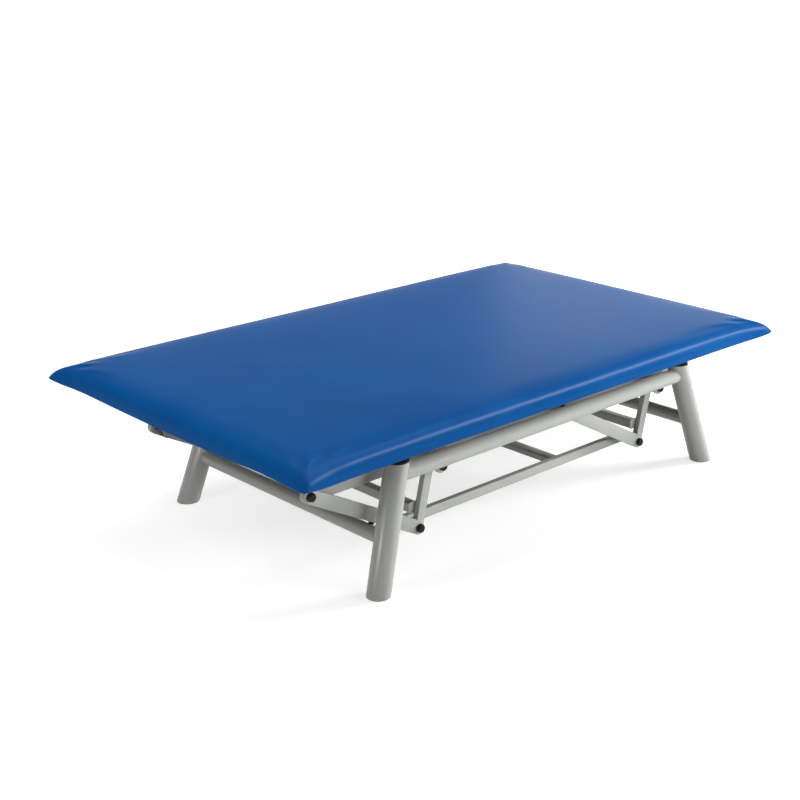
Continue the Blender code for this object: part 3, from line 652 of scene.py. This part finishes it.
def makeLugs(spec):
    r = spec["lugRadius"]
    for corner, side, end in corners:
        x, z = hingeAt[end].x, hingeAt[end].z
        top = z + spec["lugRise"]
        outline = [(x + r, top), (x - r, top), *arcPoints((x, z), r, 180, 360, spec["facets"])]
        bm = plateShape(outline, [holeLoop(hingeAt[end])], side * lugIn, side * lugOut, spec["soften"])
        dressNode(f"hinge_lug_{corner}", bm, "powderCoat", "base")
        y = side * (lugOut + spec["beadOut"])
        for rise in (-spec["beadRise"], spec["beadRise"]):
            bead = [Vector((x + dx, y, baseSpec["railHeight"] + rise)) for dx in (-r, 0, r)]
            weldPaths["base"].append((bead, False))


def makeTieBars(spec):
    left, right = heelAt["left"], heelAt["right"]
    outer, half = spec["tieOuter"], spec["tieHeight"] / 2
    outline = [*arcPoints((left.x, left.z), half, 90, 270, spec["facets"]),
               *arcPoints((right.x, right.z), half, -90, 90, spec["facets"])]
    for sideName, side in sides.items():
        bm = plateShape(outline, [holeLoop(left), holeLoop(right)],
                        side * (outer - spec["tieThick"]), side * outer, spec["soften"])
        dressNode(f"tie_bar_{sideName}", bm, "powderCoat", "tie_frame")


makeCranks(liftSpec)
makeLugs(liftSpec)
makeTieBars(liftSpec)
print("lugs, cranks and tie bars made")


# square and oblong tubes with the rounded corners of drawn section

bearers = [f"bearer_{i}" for i in range(1, 5)]
boxSpecs = {
    **{f"torsion_bar_{end}": {"body": "crank_" + end, "wall": 0, "corner": 0.004, "weld": True} for end in ends},
    "tie_crossbar": {"body": "tie_frame", "wall": 0.002, "corner": 0.003, "weld": True},
    "top_cross_member": {"body": "table_top", "wall": 0.002, "corner": 0.003, "weld": True},
    **{f"top_rail_{sideName}": {"body": "table_top", "wall": 0.002, "corner": 0.0035, "snip": (0.040, 0.030)}
       for sideName in sides},
    **{bearer: {"body": "table_top", "wall": 0.002, "corner": 0.003} for bearer in bearers},
}
plugSpec = {"flange": 0.003, "rib": 0.012, "ribInset": 0.0021, "corner": 0.003, "cornerLeast": 0.001,
            "soften": 0.0012, "steps": 4}


def makeBoxTube(node, spec, steps=5):
    middle, size = boxOf(node)
    along, across = (acrossX, acrossY) if size.x > size.y else (acrossY, acrossX)
    width, height, reach = across.dot(size), size.z, along.dot(size) / 2
    sections = [roundedBox(width, height, spec["corner"], steps)]
    if spec["wall"]:  # without a wall the ends are plated over
        sections.append(roundedBox(width - 2 * spec["wall"], height - 2 * spec["wall"],
                                   spec["corner"] - spec["wall"] / 2, steps))
    cuts = [cutEnd(-reach, middle.z - height / 2, *spec.get("snip", ())), cutEnd(reach)]
    bm, loops = sweptShape(middle, along, across, sections, cuts)
    dressNode(node, bm, "powderCoat", spec["body"])
    weldPaths[spec["body"]] += loops if "weld" in spec else []


def makePlugs(spec):  # moulded plugs close the open ends of the bearers
    places = []
    for node in bearers:
        middle, size = boxOf(node)
        places += [(middle + acrossY * way * size.y / 2, acrossY * way, acrossX) for way in sides.values()]
    soft, flange, inner = spec["soften"], spec["flange"], spec["ribInset"]
    bm = bmesh.new()
    rings = []
    for inset, z in ((inner, -spec["rib"]), (inner, 0), (0, 0), (0, flange - soft),
                     (soft * midRound, flange - soft * midRound), (soft, flange)):
        corner = max(spec["corner"] - inset, spec["cornerLeast"])
        outline = roundedBox(size.x - 2 * inset, size.z - 2 * inset, corner, spec["steps"])
        rings.append([bm.verts.new((x, y, z)) for x, y in outline])
    joinRings(bm, rings, capped=True)
    finishPiece("bearerPlugs", placeOnPoints(bm, places), "blackPolyethylene", "table_top")


for boxNode, boxSpec in boxSpecs.items():
    makeBoxTube(boxNode, boxSpec)
makePlugs(plugSpec)
print("section tubes and their plugs made")


# bolts with black caps at the pivots, and the rubber stops

boltSpec = {
    "stem": 0.006, "flange": 0.011, "flangeThick": 0.006,
    "cap": 0.013, "capLength": 0.012, "edge": 0.0006, "round": 0.0045, "steps": 6,
    "dimple": 0.0055, "dimpleSlope": 0.001, "dimpleDepth": 0.001,
}


def boltShape(spec, stem):  # distances count from the face that the cap sits on
    r, length, over, edge, dimple = (spec[key] for key in ("cap", "capLength", "round", "edge", "dimple"))
    return turnedShape(Vector(), upZ, [
        *stem, (spec["stem"], 0), (r - edge, 0), (r, edge),
        *arcPoints((r - over, length - over), over, 0, 90, spec["steps"]),
        (dimple, length), (dimple - spec["dimpleSlope"], length - spec["dimpleDepth"])])


def makeBolts(spec):
    gap, stem, flange = baseSpec["gap"], spec["stem"], spec["flange"]
    seat, lugSeat = linkOut + gap, lugOut + gap
    tieIn, tieOut = liftSpec["tieOuter"] - liftSpec["tieThick"] - gap - seat, liftSpec["tieOuter"] + gap - seat
    arm = linkIn - gap - seat
    heelStem = [(flange, tieIn - spec["flangeThick"]), (flange, tieIn), (stem, tieIn), (stem, tieOut),
                (flange, tieOut), (flange, arm), (stem, arm)]
    headStem = [(stem, liftSpec["topRailOuter"] + gap - seat)]
    for name, at, out, line, body, those in (
            ("hingeBolts", hingeAt, lugSeat, [(stem, linkIn - lugSeat)], "base", ends),
            ("heelBoltsLeft", heelAt, seat, heelStem, "crank_left", ("left",)),
            ("heelBoltsRight", heelAt, seat, heelStem, "crank_right", ("right",)),
            ("headBolts", headAt, seat, headStem, "table_top", ends)):
        kind = name.split("Bolts")[0]
        chosen = [corner for corner in corners if corner[2] in those]
        places = [(at[end] + acrossY * side * out, acrossY * side, upZ) for corner, side, end in chosen]
        finishPiece(name, placeOnPoints(boltShape(spec, line), places), "blackPolyethylene", body,
                    [f"{kind}_bolt_{corner[0]}" for corner in chosen])


stopSpec = {"radius": 0.009, "waist": 0.0078, "round": 0.002, "facets": 32}


def makeStops(spec):  # rubber stops under the left arms, standing on the end crossbar
    along, below = armFrame("left")
    head = headAt["left"]
    bar = crossMiddle("left") - head
    start = liftSpec["armDepth"] / 2 + baseSpec["gap"]
    length = below.dot(bar) - baseSpec["crossRadius"] - baseSpec["gap"] - start
    r, over = spec["radius"], spec["round"]
    mid = over * midRound
    bm = turnedShape(Vector(), upZ, [(r - over / 2, 0), (r, over / 2), (spec["waist"], length / 2),
                                     (r, length - over), (r - mid, length - mid), (r - over, length)], spec["facets"])
    seat = head + along * along.dot(bar) + below * start
    places = [(seat + acrossY * side * (linkIn + linkOut) / 2, below, along) for side in sides.values()]
    finishPiece("stopBuffers", placeOnPoints(bm, places), "blackRubber", "crank_left",
                ["stop_buffer_near", "stop_buffer_far"])


makeBolts(boltSpec)
makeStops(stopSpec)
print("bolts and stops made")


# actuator, its bracket and clevis

castSpecs = {  # pieces that keep the CAD's form, with rounded edges
    "actuator_bracket": {"body": "base", "soften": 0.0010, "finish": "powderCoat"},
    "actuator_clevis": {"body": "tie_frame", "soften": 0.0010, "finish": "powderCoat"},
    "actuator_gearbox": {"body": "actuator", "soften": 0.0030, "finish": "blackAbs"},
    "push_rod": {"body": "push_rod", "soften": 0.0007, "finish": "zincPlatedSteel"},
}
motorSpec = {
    "radius": 0.024, "length": 0.125, "side": 0.0283, "along": 0.093, "edge": 0.001, "end": 0.004,
    "plain": 0.18, "seam": (0.82, 0.83, 0.85, 0.86),  # shares of the length
    "fins": 5, "finFirst": 0.22, "finPitch": 0.10,  # cooling rings round the can
    "fin": ((0, 0), (0.0015, 0.001), (0.0015, 0.005), (0, 0.006)),  # depth and place of a ring's corners, m
}
tubeSpec = {"radius": 0.020, "bore": 0.0088, "start": 0.1353, "length": 0.215, "gland": 0.018, "step": 0.0015,
            "chamfer": 0.003, "lip": 0.001}
pinSpec = {"radius": 0.005, "chamfer": 0.0008, "facets": 32}
actuatorRear = Vector(joints["actuator_swing"]["pos_m"])
actuatorAlong = Vector(joints["rod_slide"]["axis"]).normalized()


def makeMotor(spec):
    r, length, edge, end = spec["radius"], spec["length"], spec["edge"], spec["end"]
    profile = [(r - edge, 0), (r, edge), (r, length * spec["plain"])]
    for i in range(spec["fins"]):
        at = length * (spec["finFirst"] + spec["finPitch"] * i)
        profile += [(r - depth, at + d) for depth, d in spec["fin"]]
    profile += [(r - depth, length * share) for depth, share in zip((0, edge, edge, 0), spec["seam"])]
    profile += [(r, length - end), (r - end * midRound, length - end * midRound), (r - end, length)]
    place = actuatorRear + actuatorAlong * spec["along"] + acrossY * spec["side"]
    dressNode("actuator_motor", turnedShape(place, acrossY, profile), "blackAbs", "actuator", "Can")


def makeOuterTube(spec):
    r, bore, start, lip, chamfer = (spec[key] for key in ("radius", "bore", "start", "lip", "chamfer"))
    thin, end = r - spec["step"], start + spec["length"]
    profile = [(bore, start), (thin, start), (thin, end - spec["gland"]), (r, end - spec["gland"]),
               (r, end - chamfer), (r - chamfer, end), (bore + lip, end), (bore, end - lip)]
    bm = turnedShape(actuatorRear, actuatorAlong, profile, closed=True)
    finishPiece("actuatorOuterTube", bm, "extrudedAluminium", "actuator", ["actuator_tube"])


def makePin(node, body, spec):
    middle, size = boxOf(node)
    r, cut, reach = spec["radius"], spec["chamfer"], size.y / 2
    profile = [(r - cut, -reach), (r, cut - reach), (r, reach - cut), (r - cut, reach)]
    dressNode(node, turnedShape(middle, acrossY, profile, spec["facets"]), "zincPlatedSteel", body, "Turned")


for castNode, castSpec in castSpecs.items():
    dressNode(castNode, softCopy(castNode, castSpec["soften"]), castSpec["finish"], castSpec["body"], "Body")
makeMotor(motorSpec)
makeOuterTube(tubeSpec)
makePin("bracket_pin", "base", pinSpec)
makePin("clevis_pin", "tie_frame", pinSpec)
print("actuator made")


# weld beads where tubes and plates join, painted over

weldSpec = {"pitch": 0.0034, "size": (0.0062, 0.0050, 0.0050), "sharp": 80}


def makeWelds(spec):
    for body, paths in weldPaths.items():
        if paths:
            bm = bmesh.new()
            bmesh.ops.create_uvsphere(bm, u_segments=8, v_segments=4, radius=0.5)
            bmesh.ops.scale(bm, vec=spec["size"], verts=bm.verts)
            finishPiece(camel("welds_" + body), placeAlong(bm, paths, spec["pitch"]), "powderCoat", body,
                        sharp=spec["sharp"])


makeWelds(weldSpec)
print("welds laid:", {body: len(paths) for body, paths in weldPaths.items() if paths})


# board under the mattress, with the screws that hold it

boardSpec = {"soften": 0.0010}
screwSpec = {
    "head": 0.0055, "height": 0.0032, "inset": 0.090, "count": 4, "facets": 20,
    "profile": ((1, 0), (1, 0.35), (0.86, 0.75), (0.55, 1), (0.42, 1), (0.30, 0.5875)),  # shares of head and height
}


def makeScrews(spec):  # pan heads under the bearers
    profile = [(spec["head"] * r, spec["height"] * h) for r, h in spec["profile"]]
    places = []
    for node in bearers:
        middle, size = boxOf(node)
        reach = size.y / 2 - spec["inset"]
        for i in range(spec["count"]):
            y = middle.y - reach + 2 * reach * i / (spec["count"] - 1)
            places.append((Vector((middle.x, y, middle.z - size.z / 2)), -upZ, acrossX))
    bm = turnedShape(Vector(), upZ, profile, spec["facets"])
    finishPiece("boardScrews", placeOnPoints(bm, places), "zincPlatedSteel", "table_top")


finishPiece("plywoodBoard", softCopy("board", boardSpec["soften"]), "plywood", "table_top", ["board"])
makeScrews(screwSpec)
print("board and screws made")


# mattress: foam in a stretched vinyl cover

mattressSpec = {
    "roll": 0.046, "corner": 0.026, "cornerLeast": 0.006, "rim": 0.004, "rimFlat": 0.004, "side": 0.010,
    "draw": 0.003, "drawShape": 0.7,  # the edges are drawn in between the corners
    "crown": 0.004, "plateau": 0.230,
    "start": 0.0030, "startRim": 0.4,  # the cover starts this much lower and swells, less so at the rim
    "ear": 0.017, "earReach": 0.075,  # the tucked corners stand out a little
    "earFade": 0.6,  # and less so at the top
    "droop": 0.009, "droopReach": 0.090,  # and are pressed down by the fold
    "easeReach": 0.130, "easeSteps": 16,  # smoothing of the corners
    "skirt": 0.003, "endSag": 0.009,  # the rim hangs between the corners
    "rimReach": 0.030, "endReach": 0.060, "sagWidth": 0.7, "cornerLift": 0.009,
    "rollSteps": 9, "fine": 0.005, "coarse": 0.016, "growth": 1.12, "hem": 0.050,
    "pressure": 4.0, "frames": 20, "most": 0.0035,
    "pucker": 0.0005, "puckerLength": 0.085, "puckerLevel": 4.7,
    "hollow": 0.0007, "hollowLength": 0.30, "hollowLevel": 0.3,
    "sharp": 75,
}


def gradedSteps(half, spec):  # places from -1 to 1, closer together near the ends
    places, at, step = [0.0], 0.0, spec["fine"] / half
    while at < 1.0:
        at += step
        step = min(step * spec["growth"], spec["coarse"] / half)
        places.append(at)
    left = [p / at - 1.0 for p in places[:-1]]
    return left + [0.0] + [-p for p in reversed(left)]


def padRing(xs, ys, halfX, halfY, radius, spec):  # a rounded oblong with one point for each border point of the grid
    def roundOff(x, y):
        px, py = abs(x) - (halfX - radius), abs(y) - (halfY - radius)
        if px > 0 and py > 0:
            far, spread = max(px, py), math.atan2(py, px)
            x = math.copysign(halfX - radius + far * math.cos(spread), x)
            y = math.copysign(halfY - radius + far * math.sin(spread), y)
        return x, y

    def drawn(share, way):
        return math.copysign(spec["draw"] * max(0.0, math.cos(share * math.pi / 2)) ** spec["drawShape"], way)
    border = [(x, -1, True) for x in xs[:-1]] + [(1, y, False) for y in ys[:-1]]
    border += [(x, 1, True) for x in reversed(xs[1:])] + [(-1, y, False) for y in reversed(ys[1:])]
    points = []
    for u, v, alongX in border:
        x, y = roundOff(u * halfX, v * halfY)
        points.append((x, y - drawn(u, v)) if alongX else (x - drawn(v, u), y))
    return points


def pullCover(point, spec, low, high):  # how the tucked cover pulls the foam at its corners and rim
    x, y, z = point
    up = (z - low.z) / (high.z - low.z)
    fromX, fromY = high.x - abs(x), high.y - abs(y)
    near = math.exp(-(fromX * fromX + fromY * fromY) / (2 * spec["earReach"] ** 2))
    out = spec["ear"] * near * (1 - spec["earFade"] * up)
    down = spec["droop"] * math.exp(-(fromX + fromY) / spec["droopReach"]) * up
    rimShare = (1 - up) ** 3 * max(0.0, 1 - min(fromX, fromY) / spec["rimReach"])
    atEnd = math.exp(-fromX / spec["endReach"])
    belly = max(0.0, 1 - (y / (spec["sagWidth"] * high.y)) ** 2)
    down += rimShare * (spec["skirt"] * (1 - atEnd) + spec["endSag"] * belly * atEnd - spec["cornerLift"] * near ** 3)
    return Vector((x + math.copysign(out, x), y + math.copysign(out, y), z - down))


def coverShape(spec, low, high):
    halfX, halfY, thick = (high.x - low.x) / 2, (high.y - low.y) / 2, high.z - low.z
    gridX, gridY = gradedSteps(halfX, spec), gradedSteps(halfY, spec)
    inner, rim, side = spec["roll"], spec["rim"], spec["side"]
    atRim, atTop = spec["start"] * spec["startRim"], spec["start"] * (1 - spec["startRim"])
    rise = thick - spec["crown"] - atRim - side
    levels = [(spec["hem"], 0), (rim + spec["rimFlat"], 0), (rim, 0), (rim * midRound, rim * midRound), (0, rim),
              (0, side)]
    for i in range(1, spec["rollSteps"]):
        turn = math.radians(90 * i / spec["rollSteps"])
        levels.append((inner * (1 - math.cos(turn)), side + rise * math.sin(turn)))
    bm = bmesh.new()
    rings = []
    for inset, z in levels:
        radius = max(spec["corner"] - inset, spec["cornerLeast"])
        loop = padRing(gridX, gridY, halfX - inset, halfY - inset, radius, spec)
        rings.append([bm.verts.new((x, y, low.z + z)) for x, y in loop])
    table = {}
    for i, u in enumerate(gridX):  # crowned top
        for j, v in enumerate(gridY):
            x, y = u * (halfX - inner), v * (halfY - inner)
            shareX, shareY = (1 - (1 - min(edge / spec["plateau"], 1.0)) ** 2
                              for edge in (halfX - inner - abs(x), halfY - inner - abs(y)))
            share = shareX * shareY
            z = thick - atRim - spec["crown"] * (1 - share) - atTop * share
            table[i, j] = bm.verts.new((x, y, low.z + z))
    m, n = len(gridX) - 1, len(gridY) - 1
    for i in range(m):
        for j in range(n):
            bm.faces.new((table[i, j], table[i + 1, j], table[i + 1, j + 1], table[i, j + 1]))
    border = [table[i, 0] for i in range(m)] + [table[m, j] for j in range(n)]
    border += [table[i, n] for i in range(m, 0, -1)] + [table[0, j] for j in range(n, 0, -1)]
    joinRings(bm, rings + [border])
    for vert in bm.verts:
        vert.co = pullCover(vert.co, spec, low, high)
    soft = [vert for ring in rings[3:] + [list(table.values())] for vert in ring  # all above the flat rim
            if halfX - abs(vert.co.x) + halfY - abs(vert.co.y) < spec["easeReach"]]
    for step in range(spec["easeSteps"]):
        bmesh.ops.smooth_vert(bm, verts=soft, factor=0.5, use_axis_x=True, use_axis_y=True, use_axis_z=True)
    bm.verts.index_update()
    return bm, [vert.index for ring in rings[:4] for vert in ring]  # the hem and the rim are held


def swellCover(cover, heldPoints, spec):  # the foam presses the cover out; no point moves further than most
    group = cover.vertex_groups.new(name="held")
    group.add(heldPoints, 1.0, "REPLACE")
    before = [vert.co.copy() for vert in cover.data.vertices]
    cloth = cover.modifiers.new("foam", "CLOTH")
    cloth.settings.use_pressure = True
    cloth.settings.uniform_pressure_force = spec["pressure"]
    cloth.settings.effector_weights.gravity = 0
    cloth.settings.vertex_group_mass = "held"
    cloth.settings.quality = 4
    cloth.collision_settings.use_collision = False
    cloth.point_cache.frame_start, cloth.point_cache.frame_end = 1, spec["frames"]
    for step in range(1, spec["frames"] + 1):
        scene.frame_set(step)
    swollen = cover.evaluated_get(bpy.context.evaluated_depsgraph_get()).to_mesh()
    moved = [vert.co.copy() for vert in swollen.vertices]
    cover.modifiers.remove(cloth)
    cover.vertex_groups.clear()
    scene.frame_set(1)
    for vert, start, end in zip(cover.data.vertices, before, moved):
        shift = end - start
        if shift.length > 0:
            vert.co = start + shift.normalized() * spec["most"] * math.tanh(shift.length / spec["most"])


def settleCover(mesh, spec, low, high):  # faint hollows in the foam and puckers along the drawn edge
    for vert in mesh.vertices:
        x, y, z = vert.co
        up = (z - low.z) / (high.z - low.z)
        soft = noise.noise(Vector((x, y, spec["hollowLevel"])) / spec["hollowLength"])
        vert.co.z += spec["hollow"] * soft * max(0.0, up * 2 - 1)
        band = math.sin(math.pi * min(max(up, 0.0), 1.0))
        pull = noise.noise(Vector((x, y, spec["puckerLevel"])) / spec["puckerLength"]) * spec["pucker"] * band
        reachX, reachY = high.x - abs(x), high.y - abs(y)
        if reachX < spec["roll"] and reachX < reachY:
            vert.co.x -= math.copysign(pull, x)
        elif reachY < spec["roll"]:
            vert.co.y -= math.copysign(pull, y)


def makeMattress(spec):
    low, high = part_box("mattress")
    bm, heldPoints = coverShape(spec, low, high)
    cover = addObject("coverForm", meshFrom("mattressCover", bm))
    swellCover(cover, heldPoints, spec)
    settleCover(cover.data, spec, low, high)
    smooth = cover.modifiers.new("smooth", "SUBSURF")
    smooth.levels = smooth.render_levels = 1
    bm = bmesh.new()
    bm.from_mesh(takeMesh(cover))
    bmesh.ops.holes_fill(bm, edges=[edge for edge in bm.edges if edge.is_boundary])
    piece = finishPiece("mattressCover", bm, "vinyl", "table_top", ["mattress"], sharp=spec["sharp"])


makeMattress(mattressSpec)
print("mattress made")


# floor, light and background

stageSpec = {
    "floor": "#D2D2D2", "floorSize": 80.0,
    "nearLift": 0.66, "farLift": 0.92, "near": 1.2, "far": 4.5,  # the floor whitens away from the table
    "worldLight": 0.115, "white": "#FFFFFF",
    "wallTop": 0.21, "ceiling": 0.30,  # sines of the heights where the white wall ends and the dim ceiling begins
}
lampSpecs = {
    "overheadSoftbox": {"place": (0.6, 0.6, 3.6), "aim": (0.1, 0.0, 0.4), "size": (3.2, 2.4), "power": 84},
    "frontFill": {"place": (1.4, -5.0, 0.9), "aim": (0.1, 0.0, 0.30), "size": (3.0, 1.4), "power": 152,
                  "glossy": False},
    "rightKey": {"place": (4.6, -2.2, 1.1), "aim": (0.1, -0.3, 0.30), "size": (1.3, 1.1), "power": 300,
                 "glossy": False},
    "backSoftbox": {"place": (4.7, 2.6, 1.7), "aim": (0.7, 0.3, 0.5), "size": (2.2, 1.6), "power": 14},
    "sideStrip": {"place": (-4.2, 0.3, 0.9), "aim": (-0.4, 0.0, 0.35), "size": (0.5, 1.7), "power": 32,
                  "glossy": False},
    "leftSoftbox": {"place": (-3.0, 0.4, 2.9), "aim": (-1.0, 0.0, 0.45), "size": (0.8, 1.6), "power": 34,
                    "glossy": False},
    "edgeStrip": {"place": (3.4, -2.05, 3.30), "aim": (3.4, -0.6, 0.50), "size": (4.8, 0.9), "power": 640,
                  "diffuse": False},
    "legStrip": {"place": (-4.0, -0.4, 0.25), "aim": (-0.75, -0.45, 0.25), "size": (0.30, 0.42), "power": 30,
                 "diffuse": False},
}


def seenShare(tree, rays, mirrored):  # 1 for camera and clear rays, and the given share for mirrored ones
    seen = addNode(tree, "Math", {0: rays["Is Camera Ray"], 1: mirrored}, operation="MAXIMUM")
    return addNode(tree, "Math", {0: seen, 1: rays["Is Transmission Ray"]}, operation="MAXIMUM")


def makeFloor(spec):
    # matt painted floor: a soft shadow under the table, lifted to white further out
    material, tree, shader, spots = startMaterial(
        "paleFloor", Base_Color=lin(spec["floor"]), Roughness=0.9, Specular_IOR_Level=0.0,
        Emission_Color=lin(spec["white"]))
    rays = addNode(tree, "LightPath").outputs
    away = addNode(tree, "VectorMath", {0: spots}, operation="LENGTH").outputs["Value"]
    lift = addNode(tree, "MapRange",
                   {"Value": away, "From Min": spec["near"], "From Max": spec["far"],
                    "To Min": spec["nearLift"], "To Max": spec["farLift"]}, interpolation_type="SMOOTHSTEP")
    seen = seenShare(tree, rays, rays["Is Glossy Ray"])
    feed(tree, shader, {"Emission Strength": addNode(tree, "Math", {0: seen, 1: lift}, operation="MULTIPLY")})
    mesh = bpy.data.meshes.new("floor")
    half = spec["floorSize"] / 2
    mesh.from_pydata([(x * half, y * half, 0) for x, y in ((-1, -1), (1, -1), (1, 1), (-1, 1))], [], [(0, 1, 2, 3)])
    mesh.materials.append(material)
    floor = addObject("floor", mesh)


def makeWorld(spec):
    scene.world = bpy.data.worlds.new("studio")
    scene.world.use_nodes = True
    tree = scene.world.node_tree
    rays = addNode(tree, "LightPath").outputs
    spots = addNode(tree, "TexCoord").outputs["Object"]
    height = addNode(tree, "SeparateXYZ", {0: spots}).outputs["Z"]
    low = addNode(tree, "MapRange",
                  {"Value": height, "From Min": spec["wallTop"], "From Max": spec["ceiling"],
                   "To Min": 1.0, "To Max": 0.0}, interpolation_type="SMOOTHSTEP")
    wall = addNode(tree, "Math", {0: rays["Is Glossy Ray"], 1: low}, operation="MULTIPLY")
    strength = addNode(tree, "MapRange", {"Value": seenShare(tree, rays, wall), "To Min": spec["worldLight"]})
    feed(tree, tree.nodes["Background"], {"Color": lin(spec["white"]), "Strength": strength})


def makeLamps(specs):
    for name, spec in specs.items():
        data = bpy.data.lights.new(name, "AREA")
        data.shape = "RECTANGLE"
        data.size, data.size_y = spec["size"]
        data.energy = spec["power"]
        lamp = addObject(name, data)
        lamp.visible_diffuse = spec.get("diffuse", True)  # the edge and leg strips only give highlights
        lamp.visible_glossy = spec.get("glossy", True)  # and the key, fill, side and left lights give none
        aimObject(lamp, spec["place"], Vector(spec["aim"]) - Vector(spec["place"]))


scene.view_settings.view_transform = "Standard"
makeFloor(stageSpec)
makeWorld(stageSpec)
makeLamps(lampSpecs)
print("stage and lamps set")
